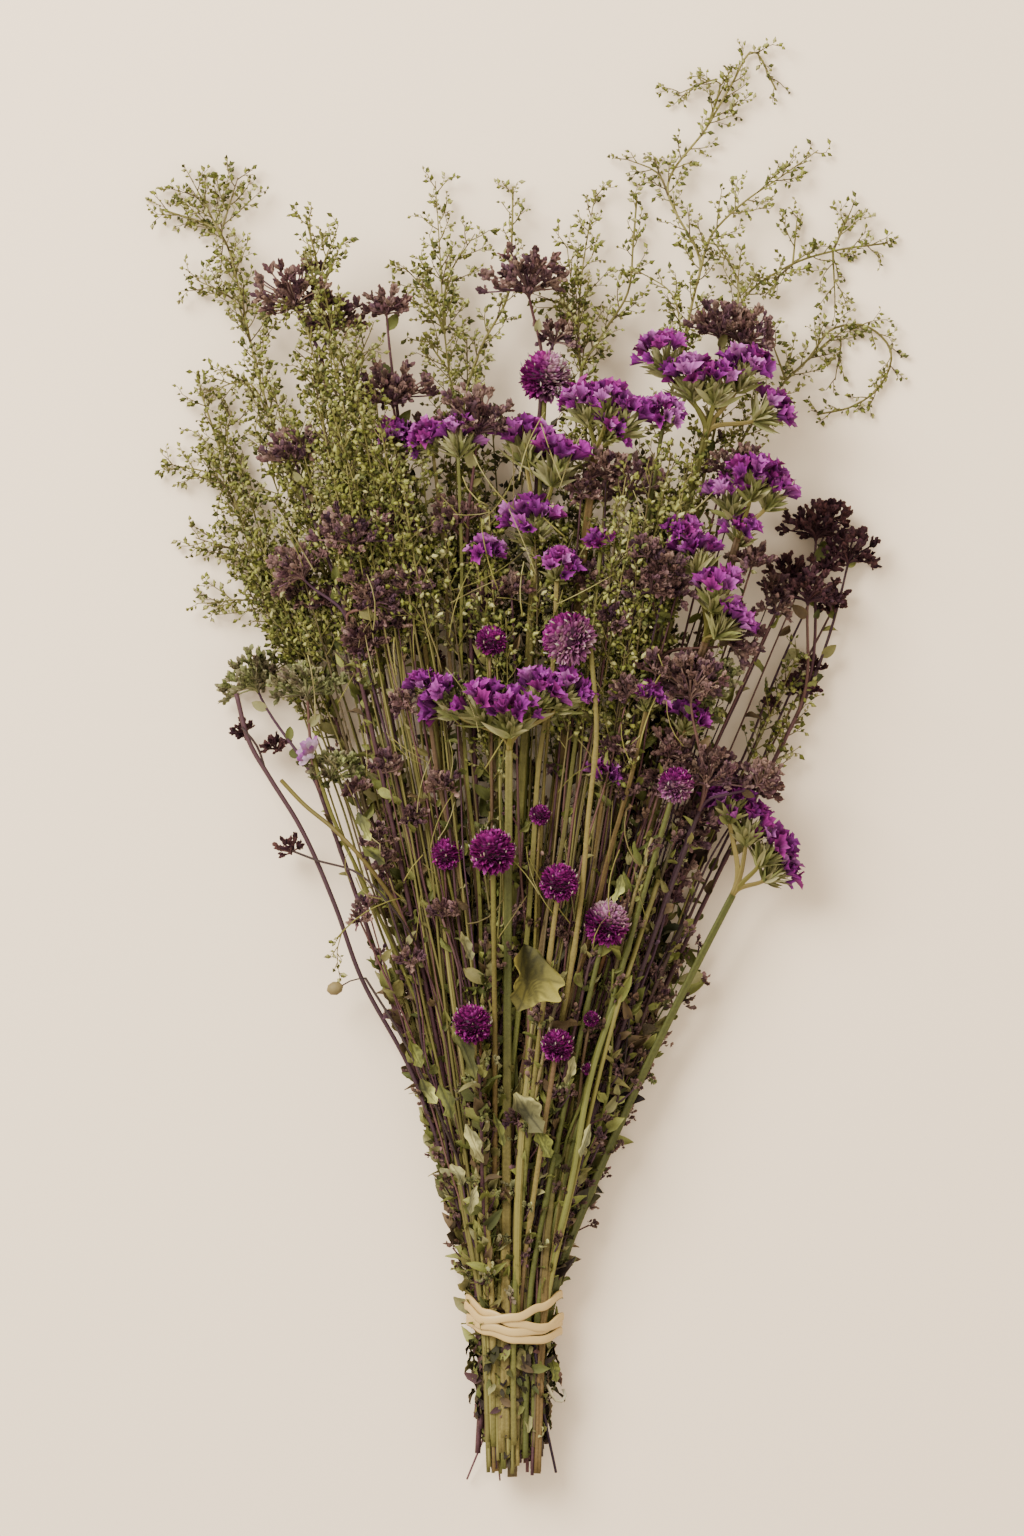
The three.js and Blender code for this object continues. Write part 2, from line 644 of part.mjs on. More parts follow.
// ---- Withered leaf ------------------------------------------------------------------------------------

// A pointed leaf outline with its petiole, bent along its length, laid over the highest stalk beneath it.
function leafSolid() {
  const { length, width, thickness, petiole } = LEAF;
  const outline = new THREE.Shape();
  outline.moveTo(-petiole, -length / 2);
  outline.lineTo(petiole, -length / 2);
  outline.lineTo(petiole, -length / 3);
  outline.bezierCurveTo(width * 0.7, -length / 4, width * 0.55, length / 4, 0, length / 2);
  outline.bezierCurveTo(-width * 0.55, length / 4, -width * 0.7, -length / 4, -petiole, -length / 3);
  outline.closePath();
  const plate = new THREE.ExtrudeGeometry(outline, {
    depth: thickness,
    bevelEnabled: false,
    curveSegments: 6,
  });
  plate.rotateZ(-LEAF.turn);
  const middle = placeOf([...LEAF.middle, 0]);
  const under = strands
    .flatMap((s) => s.points.slice(1).flatMap((p, i) => [0.25, 0.5, 0.75, 1].map((t) => ({
      at: s.points[i].clone().lerp(p, t),
      radius: s.radius,
    }))))
    .concat(strands.filter((s) => s.flower).map((s) => ({
      at: s.points.at(-1).clone().add(s.flower.offset),
      radius: s.flower.radius,
    })))
    .filter(({ at, radius }) => Math.hypot(at.x - middle.x, at.y - middle.y) < length / 2 + radius + 2);
  const top = Math.max(...under.map(({ at, radius }) => at.z + radius));
  plate.translate(middle.x, middle.y, top + CLEARANCE);
  return solidOf(plate);
}

addMesh("large_leaf", geometryOf(leafSolid()), finish(0x9a9a52, 0.85));

// ---- The part's own frame: the origin is under the middle of the bunch, on the table ---------------------

const box = new THREE.Box3().setFromObject(bunch);
const middle = box.getCenter(new THREE.Vector3());
bunch.position.set(-middle.x, -middle.y, -box.min.z);

export default bunch;
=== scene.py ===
"""A bunch of dried flowers, lying on a table.

The CAD part gives the line of every stalk and the place of every flower. This file grows the visible plants on
them: ridged stalks, papery petals, scales, buds, leaves and a rubber band. Lengths are in millimetres, and each
mesh is turned into metres when it is built.
"""

import json
import math

import bpy
import numpy as np
from bpy.props import FloatProperty, FloatVectorProperty, IntProperty, PointerProperty
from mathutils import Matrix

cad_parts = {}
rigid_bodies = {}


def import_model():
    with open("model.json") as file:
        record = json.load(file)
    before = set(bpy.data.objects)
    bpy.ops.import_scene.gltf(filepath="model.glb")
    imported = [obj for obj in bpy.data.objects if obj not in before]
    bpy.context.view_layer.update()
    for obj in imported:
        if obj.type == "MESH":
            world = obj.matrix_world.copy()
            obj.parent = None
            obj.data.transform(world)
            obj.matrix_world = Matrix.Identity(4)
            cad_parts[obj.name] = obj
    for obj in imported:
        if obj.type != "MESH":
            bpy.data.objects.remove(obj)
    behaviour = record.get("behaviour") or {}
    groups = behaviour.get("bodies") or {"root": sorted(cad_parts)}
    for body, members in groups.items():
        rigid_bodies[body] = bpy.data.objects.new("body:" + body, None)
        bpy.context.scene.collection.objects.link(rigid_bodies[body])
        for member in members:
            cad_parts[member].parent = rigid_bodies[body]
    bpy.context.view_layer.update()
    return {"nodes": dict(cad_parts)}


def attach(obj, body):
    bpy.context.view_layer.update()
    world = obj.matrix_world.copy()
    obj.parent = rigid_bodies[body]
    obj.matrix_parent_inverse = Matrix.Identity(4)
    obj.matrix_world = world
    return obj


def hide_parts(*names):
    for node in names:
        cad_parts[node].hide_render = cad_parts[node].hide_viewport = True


for thing in list(bpy.data.objects):
    bpy.data.objects.remove(thing)
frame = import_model()

bl_info = {
    "name": "Dried flower bunch",
    "version": (1, 0, 0),
    "blender": (4, 5, 0),
    "location": "View3D > Sidebar > Bunch",
    "description": "Grows a bunch of dried flowers on its CAD stalks",
    "category": "Object",
}

MM = 0.001
DEPTH = 0.48  # brightness of the plants' paint; they look pale when they lie on a bright table
PLANT_SPECULAR = 0.25
GOLDEN_ANGLE = math.pi * (3 - math.sqrt(5))
TIE_X, TIE_Y, TIE_Z = -5.5, -198.0, 12.0  # the middle of the stalks where the band holds them
BUDS_FROM = 25.0  # y above which the sprays carry buds
CLEARANCE = 1.6  # height over the table that twigs are raised to
BED = 2.0  # how softly they are raised
UP = np.array([0, 0, 1.0])
TILTED = np.array([0.1, 0.2, 1.0])  # an up for shapes of which some stand upright

# ---- Colours ------------------------------------------------------------------------------------------


def tone(code):
    """A colour such as "8c8b45" as linear light: each channel is put through the sRGB curve."""
    value = np.array([int(code[i : i + 2], 16) for i in (0, 2, 4)]) / 255
    return np.where(value <= 0.04045, value / 12.92, ((value + 0.055) / 1.055) ** 2.4)


def tones(*codes):
    """A palette, one colour to a row."""
    return np.array([tone(code) for code in codes])


OLIVE_STALKS = tones("908438", "7c7630", "a08c4a", "8a6c3a", "747430", "6a6c2e", "76583a")
BROWN_STALKS = tones("5f3a3e", "6e4442", "4a2e33", "80584c", "563543")
MIXED_STALKS = tones(
    "948a3e", "7c7c34", "a8945a", "5d3b3c", "6b4640", "4c3034", "8c5c34", "6a7234", "3a2a24", "4a3a26"
)
DARK_STALKS = tones("3c2c22", "4a3a28", "2e201e", "54452c", "46492a")
TWIGS = tones("8f8444", "807638", "9c904c", "6e5c3a")
STRAWS = tones("a09448", "8c8438", "b4a868", "7c6c3a")
BUDS = tones("888a34", "9c9a44", "aeaa5c", "70722c", "c0b874", "60632a")
SHADY = tones("545220", "46421c", "5e5828", "3a321c", "4c4628")
LEAVES = tones("7f8038", "97964c", "6c6e30", "a8a066", "867c42", "6e5838", "585c28")
VIOLETS = tones("b02ca0", "c040b0", "a02a98", "cc58bc", "aa288e", "8c2484", "d878c8")
CALYXES = tones("a3a456", "b5b06a", "918f4b", "c2b67c", "7d8442")
STRAW_TIPS = tones("d0c48c", "bdb474", "a5a55c")
MAGENTAS = tones("84086a", "9c1078", "6c0458", "ac1c88", "c040a4")
CREAMS = tones("ecd3b8", "dfbfa8", "f4e2cc")
TUFTS = tones("6e5044", "84644c", "9a7c60", "56402f", "6a4a48", "7c5a58", "5c3c44")
BROWNS = tones("704844", "86605a", "9c7866", "573838", "b08e78", "74505a", "603c48")
MAUVES = tones("6e4a54", "82585e", "98706a", "543644", "8a6658", "b08c78")
MAROONS = tones("48242c", "58303a", "361822", "643c3c", "6e443c")
GREENS = tones("9a9c5c", "84884a", "b2ae74", "6c6c3c", "a08a70")

# ---- Lines and frames ---------------------------------------------------------------------------------


def unit(v):
    """Vectors divided by their lengths."""
    return v / np.maximum(np.linalg.norm(v, axis=-1, keepdims=True), 1e-9)


def mix(a, b, share):
    """The value that is a share of the way from a to b."""
    return a + (b - a) * share


def smooth_line(points, spacing):
    """Evenly spaced points of a smooth curve through points. Between two of them it is the cubic whose slope at
    each end is that of the chords around it; its length is then measured and divided evenly."""
    points = np.asarray(points, float)
    chord = np.r_[0, np.cumsum(np.linalg.norm(np.diff(points, axis=0), axis=1))]
    slope = np.gradient(points, chord, axis=0)
    dense = np.linspace(0, chord[-1], max(12, int(4 * chord[-1] / spacing)))
    k = np.clip(np.searchsorted(chord, dense, side="right") - 1, 0, len(chord) - 2)
    span = (chord[k + 1] - chord[k])[:, None]
    t = (dense[:, None] - chord[k, None]) / span
    curve = (
        (2 * t**3 - 3 * t**2 + 1) * points[k]
        + (t**3 - 2 * t**2 + t) * span * slope[k]
        + (3 * t**2 - 2 * t**3) * points[k + 1]
        + (t**3 - t**2) * span * slope[k + 1]
    )
    length = np.r_[0, np.cumsum(np.linalg.norm(np.diff(curve, axis=0), axis=1))]
    even = np.linspace(0, length[-1], max(3, int(length[-1] / spacing) + 1))
    return np.stack([np.interp(even, length, curve[:, axis]) for axis in range(3)], 1)


def arcs(start, leaving, arriving, length, count):
    """Curved lines of count points: each leaves start along leaving and ends along arriving. The place after a
    share u is start + length (u leaving + u squared / 2 (arriving - leaving))."""
    u = np.linspace(0, 1, count)[None, :, None]
    bend = (arriving - leaving)[:, None]
    return start[:, None] + length[:, None, None] * (u * leaving[:, None] + u**2 / 2 * bend)


def reach(start, leaving, end, arriving, count):
    """Curved lines from start to end that leave and arrive along the given directions (cubic, like a Bezier)."""
    u = np.linspace(0, 1, count)[None, :, None]
    pull = 0.36 * np.linalg.norm(end - start, axis=-1)[:, None]
    a, b, c, d = (point[:, None] for point in (start, start + leaving * pull, end - arriving * pull, end))
    return (1 - u) ** 3 * a + 3 * u * (1 - u) ** 2 * b + 3 * u**2 * (1 - u) * c + u**3 * d


def axes_of(lines):
    """Tangent, side and lift along lines. Side is square to the tangent and to the axis that the line runs
    along least, and lift is square to both."""
    tangent = unit(np.gradient(lines, axis=-2))
    up = np.eye(3)[np.argmin(np.abs(tangent.mean(-2, keepdims=True)), axis=-1)]
    side = unit(np.cross(tangent, up))
    return tangent, side, np.cross(side, tangent)


def at_share(lines, index, share):
    """The points and tangents of lines[index] at a share of their length."""
    place = np.clip(share, 0, 1) * (lines.shape[1] - 1)
    low = np.minimum(place.astype(int), lines.shape[1] - 2)
    a, b = lines[index, low], lines[index, low + 1]
    return mix(a, b, (place - low)[:, None]), unit(b - a)


# ---- Meshes -------------------------------------------------------------------------------------------


def grid_faces(copies, rows, columns, wrap):
    """The quads of copies of a grid of points, whose columns close into a ring if wrap is set."""
    row = np.arange(rows - 1)[:, None]
    column = np.arange(columns if wrap else columns - 1)[None]
    after = (column + 1) % columns
    low, high = row * columns, (row + 1) * columns
    quad = np.stack([low + column, low + after, high + after, high + column], -1).reshape(-1, 4)
    return (quad[None] + (np.arange(copies) * rows * columns)[:, None, None]).reshape(-1, 4)


def on_table(points, least, softness):
    """Points raised so that none is lower than about least. Well above that they stay; the two straight parts
    are joined by a hyperbola."""
    above = points[..., 2] - least
    raised = points.copy()
    raised[..., 2] = least + (above + np.hypot(above, softness)) / 2
    return raised


class Pile:
    """Points, quads and point colours of many shapes that become one mesh."""

    def __init__(self):
        self.points, self.faces, self.colours, self.count = [], [], [], 0

    def add(self, points, faces, colours):
        points = points.reshape(-1, 3)
        self.points.append(points)
        self.faces.append(faces + self.count)
        self.colours.append(np.broadcast_to(colours.reshape(-1, 3), points.shape))
        self.count += len(points)

    def build(self, name, material):
        points = on_table(np.concatenate(self.points), 0.3, 0.5) * MM
        faces = np.concatenate(self.faces)
        mesh = bpy.data.meshes.new(name)
        mesh.vertices.add(len(points))
        mesh.vertices.foreach_set("co", points.astype(np.float32).ravel())
        mesh.loops.add(faces.size)
        mesh.loops.foreach_set("vertex_index", faces.astype(np.int32).ravel())
        mesh.polygons.add(len(faces))
        mesh.polygons.foreach_set("loop_start", np.arange(0, faces.size, 4, dtype=np.int32))
        mesh.polygons.foreach_set("use_smooth", np.ones(len(faces), bool))
        mesh.update(calc_edges=True)
        shade = np.ones((len(points), 4), np.float32)
        shade[:, :3] = np.clip(np.concatenate(self.colours), 0, 1)
        mesh.attributes.new("shade", "FLOAT_COLOR", "POINT").data.foreach_set("color", shade.ravel())
        mesh.materials.append(material)
        piece = bpy.data.objects.new(name, mesh)
        bpy.context.scene.collection.objects.link(piece)
        return piece


def section(sides, ridges=0, depth=0.0):
    """The points of a stalk's cross-section: a circle whose radius swings by depth, ridges times round."""
    angle = 2 * math.pi * np.arange(sides) / sides
    radius = 1 - depth * (0.5 - 0.5 * np.cos(ridges * angle))
    return np.stack([radius * np.cos(angle), radius * np.sin(angle)], 1), radius


def capped(values):
    """Values along lines with the first and the last one repeated."""
    return np.concatenate([values[:, :1], values, values[:, -1:]], 1)


def tubes(pile, lines, radii, colours, sides=6, ridges=0, depth=0.0):
    """Tubes along lines (count, rings, 3). A tube's point is the ring's middle plus its radius times the
    cross-section, laid along side and lift. Rings of almost no radius close both ends, and the grooves between
    ridges are painted darker, as shade."""
    _, side, lift = axes_of(lines)
    side, lift = capped(side)[:, :, None], capped(lift)[:, :, None]
    lines, radii, colours = capped(lines), capped(radii), capped(colours)
    radii[:, [0, -1]] *= 0.05
    shape, bulge = section(sides, ridges, depth)
    points = lines[:, :, None] + radii[:, :, None, None] * (shape[:, :1] * side + shape[:, 1:] * lift)
    # Painted shade: each ring is darker in the grooves between ridges than on the ridges.
    lit = colours[:, :, None] * (0.75 + 0.25 * bulge / bulge.max())[:, None]
    pile.add(points, grid_faces(len(lines), lines.shape[1], sides, True), np.broadcast_to(lit, points.shape))


def plain_tubes(pile, rng, lines, thick, thin, palette, sides, ridges=0, depth=0.0):
    """Tubes that taper evenly from thick to thin, each in one colour of the palette."""
    count, rings = lines.shape[:2]
    colours = np.repeat(pick(rng, palette, count)[:, None], rings, 1)
    radii = np.broadcast_to(np.linspace(thick, thin, rings), (count, rings))
    tubes(pile, lines, radii, colours, sides, ridges, depth)


class Template:
    """A small shape, one unit long along y. At each point, ramp says how far its colour has run from base to
    tip, and light is the painted light and shade that make it brighter or darker."""

    def __init__(self, points, faces, ramp, light=1.0):
        self.points, self.faces, self.ramp = points, faces, ramp
        self.light = np.broadcast_to(light, len(points))


def gridded(x, y, z, ramp, light=1.0, wrap=False):
    """The template with a grid of points at x, y and z. Its columns close into a ring if wrap is set."""
    x, y, z, ramp, light = np.broadcast_arrays(x, y, z, ramp, light)
    points = np.stack([x, y, z], -1).reshape(-1, 3)
    return Template(points, grid_faces(1, *x.shape, wrap), ramp.ravel(), light.ravel())


def place(pile, template, at, along, up, size, base, tip, roll=None):
    """Copies of a template at given places. A copy's point is its place plus the template's x, y and z along
    side, along and lift, times size; its colour runs from base to tip."""
    along = unit(along)
    side = unit(np.cross(along, up))
    lift = np.cross(side, along)
    if roll is not None:
        c, s = np.cos(roll)[:, None], np.sin(roll)[:, None]
        side, lift = c * side + s * lift, c * lift - s * side
    size = np.broadcast_to(size[:, None] if size.ndim == 1 else size, (len(at), 3))
    basis = np.stack([side, along, lift], 1) * size[:, :, None]
    points = at[:, None] + np.einsum("vi,nij->nvj", template.points, basis)
    colour = mix(base[:, None], tip[:, None], template.ramp[None, :, None]) * template.light[None, :, None]
    faces = template.faces[None] + (np.arange(len(at)) * len(template.points))[:, None, None]
    pile.add(points, faces.reshape(-1, 4), colour)


def place_kinds(pile, rng, templates, kind, at, along, up, size, base, tip):
    """Copies of several templates, each turned at random. The number of its template is in kind."""
    for number, template in enumerate(templates):
        own = kind == number
        roll = rng.uniform(0, 6, own.sum())
        place(pile, template, at[own], along[own], up, size[own], base[own], tip[own], roll)


def pick(rng, palette, count, spread=0.15):
    """Random colours of a palette, each made a little brighter or darker."""
    return palette[rng.integers(len(palette), size=count)] * rng.uniform(1 - spread, 1 + spread, (count, 1))


# ---- Templates ----------------------------------------------------------------------------------------


def sheet(rows, columns, width, fold=0.0, curl=0.0, ripple=0.0, blunt=0.75, seed=0):
    """A pointed leaf shape. Its width is that of t^0.6 (1-t)^blunt, its halves are folded up along the midrib, it
    bends down with the square of the distance from its base, and its edges ripple. It is painted darker along
    the midrib, as shade in the fold, and lighter towards its edges."""
    rng = np.random.default_rng(seed)
    t = np.linspace(0.015, 0.985, rows)[:, None]
    u = np.linspace(-1, 1, columns)[None]
    half = t**0.6 * (1 - t) ** blunt
    half = width / 2 * half / half.max()
    wave = np.sin(9 * t + 4 * u + rng.uniform(0, 6)) * u**2
    z = fold * np.abs(u) * half - curl * t**2 + ripple * wave
    # Painted shade: light is darker along the midrib, where the halves fold, and rises towards the edges.
    return gridded(u * half, t, z, t, 0.86 + 0.14 * np.abs(u))


def revolved(profile, sides):
    """A closed shape round y from (radius, height) pairs."""
    radius, height = np.array(profile, float).T[:, :, None]
    angle = 2 * math.pi * np.arange(sides)[None] / sides
    return gridded(radius * np.cos(angle), height, radius * np.sin(angle), height.clip(0, 1), wrap=True)


def grain():
    """The smallest bud: three quads, each from the base round two corners of its girdle to the tip."""
    angle = 2 * math.pi * np.arange(3) / 3
    girdle = np.stack([0.34 * np.cos(angle), 0.45 + 0 * angle, 0.27 * np.sin(angle)], 1)
    points = np.concatenate([[[0, 0, 0], [0, 1, 0]], girdle])
    corner = np.arange(3)
    faces = np.stack([2 + corner, 0 * corner + 1, 2 + (corner + 1) % 3, 0 * corner], 1)
    return Template(points, faces, points[:, 1])


def funnel(seed):
    """A papery calyx: a funnel with a lobed rim and nine pleats, crumpled by three waves round it, all of which
    fade towards the base. It is painted darker in the pleats' inner folds and towards the base, as shade inside
    the funnel."""
    rng = np.random.default_rng(seed)
    rows, columns = 5, 18
    t = np.linspace(0, 1, rows)[:, None]
    angle = 2 * math.pi * np.arange(columns)[None] / columns
    pleat = np.cos(9 * angle + 0.5)
    radius = 0.08 + 0.44 * t**1.3 * (1 + 0.22 * t * pleat)
    for wave in (2, 3, 4):
        radius = radius * (1 + 0.2 * t * np.cos(wave * angle + rng.uniform(0, 6)) * rng.uniform(0.4, 1))
    lobes = 0.1 * np.cos(5 * angle) + 0.16 * np.cos(2 * angle + rng.uniform(0, 6)) + 0.05 * pleat
    # Painted shade: darker in the pleats' inner folds and deep in the funnel towards its base.
    light = (0.78 + 0.22 * pleat) * (0.6 + 0.4 * t)
    return gridded(radius * np.cos(angle), t * (1 + t * lobes), radius * np.sin(angle), t, light, True)


def gather(parts):
    """One template from a pile of placed ones, whose colours carry ramp and light."""
    points = np.concatenate(parts.points)
    colours = np.concatenate(parts.colours)
    return Template(points, np.concatenate(parts.faces), colours[:, 0], colours[:, 1])


def ear(seed, scales=6):
    """A spikelet: blunt overlapping scales up an axis, each turned from the last. Ramp and light are carried as
    colours. Each scale's light is painted shade at its base, under the scale above, and lighter at its tip."""
    rng = np.random.default_rng(seed)
    scale = sheet(3, 3, 0.95, fold=0.55, curl=-0.18, blunt=0.45)
    step = np.arange(scales)
    roll = step * 2.4 + rng.uniform(-0.3, 0.3, scales)
    height = 0.62 * step / scales + rng.uniform(-0.02, 0.02, scales)
    outward = np.stack([np.cos(roll), 0 * roll, np.sin(roll)], 1)
    tilt = rng.uniform(0.3, 0.75, scales)[:, None] * (1 - 0.6 * step[:, None] / scales)
    along = outward * np.sin(tilt) + np.array([0, 1, 0]) * np.cos(tilt)
    at = outward * 0.04 + np.array([0, 1, 0]) * height[:, None]
    # Painted shade and light: a scale is darker at its base, under the scale above, and lighter at its tip.
    base = np.stack([0 * roll, rng.uniform(0.55, 1, scales), 0 * roll], 1)
    tip = np.stack([rng.uniform(0.5, 1, scales), rng.uniform(0.8, 1.3, scales), 0 * roll], 1)
    parts = Pile()
    place(parts, scale, at, along, -outward, rng.uniform(0.36, 0.5, scales), base, tip)
    return gather(parts)


# ---- Reading the CAD part -------------------------------------------------------------------------------


def welded(node):
    """A CAD node's corners in millimetres, each once, and the links between them."""
    mesh = node.data
    co = np.empty(len(mesh.vertices) * 3, np.float32)
    mesh.vertices.foreach_get("co", co)
    mesh.calc_loop_triangles()
    tri = np.empty(len(mesh.loop_triangles) * 3, np.int32)
    mesh.loop_triangles.foreach_get("vertices", tri)
    points, number = np.unique(np.round(co.reshape(-1, 3) / MM, 2), axis=0, return_inverse=True)
    tri = number.ravel()[tri].reshape(-1, 3)
    links = np.unique(np.sort(np.concatenate([tri[:, [0, 1]], tri[:, [1, 2]], tri[:, [2, 0]]]), axis=1), axis=0)
    return points, links[links[:, 0] != links[:, 1]]


def ring_centres(points, links, near=2.7):
    """The middles of the clusters that points closer than near form, and which clusters are linked."""
    close = np.linalg.norm(points[:, None] - points[None], axis=-1) < near
    label = np.arange(len(points))
    while True:
        lower = np.where(close, label[None], len(points)).min(1)
        if (lower == label).all():
            break
        label = lower
    _, label = np.unique(label, return_inverse=True)
    weight = np.bincount(label)
    centres = np.stack([np.bincount(label, points[:, axis]) / weight for axis in range(3)], 1)
    pairs = np.unique(np.sort(label[links], axis=1), axis=0)
    return centres, pairs[pairs[:, 0] != pairs[:, 1]]


def limbs(centres, pairs):
    """Lines through the linked centres: the longest way from the lowest one, then each longest way that
    branches off, until every centre is used."""
    near = {i: set() for i in range(len(centres))}
    for a, b in pairs.tolist():
        near[a].add(b)
        near[b].add(a)
    used = {int(np.argmin(centres[:, 1]))}
    found = []
    while len(used) < len(centres):
        way, distance = {i: None for i in used}, {i: 0.0 for i in used}
        queue = sorted(used)
        while queue:
            a = min(queue, key=distance.get)
            queue.remove(a)
            for b in near[a]:
                further = distance[a] + float(np.linalg.norm(centres[a] - centres[b]))
                if further < distance.get(b, 1e9):
                    way[b], distance[b] = a, further
                    queue.append(b)
        last = max(distance, key=distance.get)
        if distance[last] < 1:
            break
        line = [last]
        while way[line[-1]] is not None:
            line.append(way[line[-1]])
        found.append(centres[line[::-1]])
        used |= set(line)
    return found


HEAD_PROFILES = {  # corners round it, height of the top, then radius and height of the ring below the top
    "amaranth": (9, 0.98, 0.55, 0.80),
    "oregano": (7, 0.94, 0.60, 0.72),
    "statice": (6, 0.82, 0.50, 0.72),
}


def heads(species, points, links):
    """Middle, direction and radius of each rounded head of a CAD node. Its top is a corner that has as many
    neighbours as the head has sides, all equally far away; they give the axis and the radius."""
    sides, top, ring_radius, ring_height = HEAD_PROFILES[species]
    both = np.concatenate([links, links[:, ::-1]])
    away = np.linalg.norm(points[both[:, 0]] - points[both[:, 1]], axis=1)
    count = np.bincount(both[:, 0], minlength=len(points))
    least, most = np.full(len(points), 1e9), np.zeros(len(points))
    np.minimum.at(least, both[:, 0], away)
    np.maximum.at(most, both[:, 0], away)
    tops = np.flatnonzero((count == sides) & (most < 1.04 * least) & (least > 1.5))
    middle = np.zeros_like(points)
    np.add.at(middle, both[:, 0], points[both[:, 1]])
    middle = middle[tops] / sides
    way = unit(points[tops] - middle)
    radius = np.linalg.norm(points[tops] - middle, axis=1) / (top - ring_height)
    return points[tops] - way * (top * radius)[:, None], way, radius


class Cad:
    """What the plants grow on, read from the CAD part once."""

    def __init__(self, nodes):
        self.nodes = nodes
        self.stalks, self.heads, self.sprays = {}, {}, {}
        for name, node in sorted(nodes.items()):
            species, _, rest = name.partition("_")
            if "_stalk_" in name:
                self.stalks[name] = smooth_line(limbs(*ring_centres(*welded(node)))[0], 3.5)
            elif "_flower_" in name:
                self.heads[name] = heads(species, *welded(node))
            elif name.startswith("green_spray"):
                self.sprays[name] = [smooth_line(line, 3.0) for line in limbs(*ring_centres(*welded(node)))]
        self.guides = [*self.stalks.values(), *(lines[0] for lines in self.sprays.values())]


CAD = Cad(frame["nodes"])


def top_height(y):
    """How high the bunch stands: it rises from the tie with a power of the distance and then stays level."""
    return 22 + 40 * np.clip((y - TIE_Y) / 240, 0, 1) ** 0.7


def swayed(rng, line, most):
    """A line pushed sideways by three sine waves that vanish at its ends and reach about most together."""
    t = np.linspace(0, 1, len(line))[:, None]
    push = sum(np.sin(wave * np.pi * t) * rng.uniform(-1, 1, 3) / wave**0.6 for wave in (2, 5, 9))
    return line + push * np.array([1, 0, 0.6]) * most


def guide(rng, end, spread=9.0, curve=1.2):
    """A stalk's line from a cut end through the tie to end. Its offset from the tie grows with a share of the way
    to the power of curve."""
    lean = np.array([(end[0] - TIE_X) * 0.10, 0, (end[2] - TIE_Z) * 0.12])
    lean = lean + rng.uniform(-1, 1, 3) * [spread, 0, 5.5]
    tie = np.array([TIE_X + np.clip(lean[0], -11, 11), TIE_Y, np.clip(TIE_Z + lean[2], 4.5, 19)])
    t = np.linspace(0, 1, 9)[:, None]
    out = mix(tie, end, np.concatenate([t**curve, t, t**curve], 1))
    cut = tie + [(TIE_X - tie[0]) * 0.2, -rng.uniform(38, 56), 0]
    return np.concatenate([[cut], swayed(rng, out, 3.0)])


# ---- Plants -------------------------------------------------------------------------------------------


def stalk(pile, rng, line, radius, palette, sides=8, ridges=0, depth=0.0, taper=0.25, node_every=0):
    """One stalk. Its colour drifts between two of the palette's, and it swells a little at each node."""
    share = np.linspace(0, 1, len(line))
    radii = radius * (1 - taper * share)
    if node_every:
        phase = share * len(line) * 3.5 / node_every + rng.uniform()
        radii = radii * (1 + 0.35 * np.exp(-(((phase % 1) - 0.5) ** 2) / 0.0012))
    ends = pick(rng, palette, 2)
    drift = 0.5 + 0.5 * np.sin(share * rng.uniform(4, 9) + rng.uniform(0, 6))
    colour = mix(ends[0], ends[1], drift[:, None])
    tubes(pile, line[None], radii[None], colour[None], sides, ridges, depth)


def sprout(rng, lines, spacing, length, spread, first=0.0, fade=0.7, rise=0.6):
    """Places, directions and lengths for side twigs along lines: spacing apart from the share first on, turned
    by the golden angle each time, leaning out by spread radians and shorter by fade towards the line's end."""
    at, leaving, arriving, lengths = [], [], [], []
    for line in lines:
        step = np.linalg.norm(np.diff(line, axis=0), axis=1)
        total = step.sum()
        count = int(total * (1 - first) / spacing)
        if count < 1:
            continue
        share = first + (1 - first) * (np.arange(count) + rng.uniform(0.1, 0.9, count)) / count
        base, tangent = at_share(line[None], np.zeros(count, int), share)
        up = np.eye(3)[np.argmin(np.abs(tangent.mean(0)))]
        side = unit(np.cross(tangent, up))
        lift = np.cross(side, tangent)
        roll = (np.arange(count) * GOLDEN_ANGLE + rng.uniform(0, 6))[:, None]
        outward = unit((np.cos(roll) * side + np.sin(roll) * lift) * [1, 1, rise])
        lean = spread * rng.uniform(0.7, 1.25, (count, 1))
        at.append(base)
        leaving.append(unit(tangent * np.cos(lean) + outward * np.sin(lean)))
        ahead, aside = rng.uniform(0.5, 1.1, (count, 1)), rng.uniform(0.1, 0.7, (count, 1))
        arriving.append(unit(tangent * ahead + outward * aside))
        left = (share - first) / (1 - first)
        lengths.append(length * (1 - fade * left) * rng.uniform(0.55, 1.15, count))
    if not at:
        return np.zeros((0, 3)), np.zeros((0, 3)), np.zeros((0, 3)), np.zeros(0)
    return tuple(np.concatenate(part) for part in (at, leaving, arriving, lengths))


def buds(pile, rng, twigs, lengths, spacing, size, palette):
    """Small pointed buds and leaflets that sit along twigs and at their tips."""
    count = np.maximum(2, (lengths / spacing).astype(int))
    index = np.repeat(np.arange(len(twigs)), count)
    order = np.arange(len(index)) - np.repeat(np.cumsum(count) - count, count)
    share = (order + 1) / np.repeat(count, count)
    base, tangent = at_share(twigs, index, share)
    outward = unit(np.cross(tangent, rng.normal(size=tangent.shape)))
    along = unit(tangent * rng.uniform(0.3, 1.1, (len(index), 1)) + outward)
    grow = size * rng.uniform(0.55, 1.25, len(index))
    tint = pick(rng, palette, len(index), 0.2)
    place(pile, grain(), base + outward * 0.15, along, np.array([0, 0.2, 1.0]), grow, tint * 0.9, tint * 1.45)


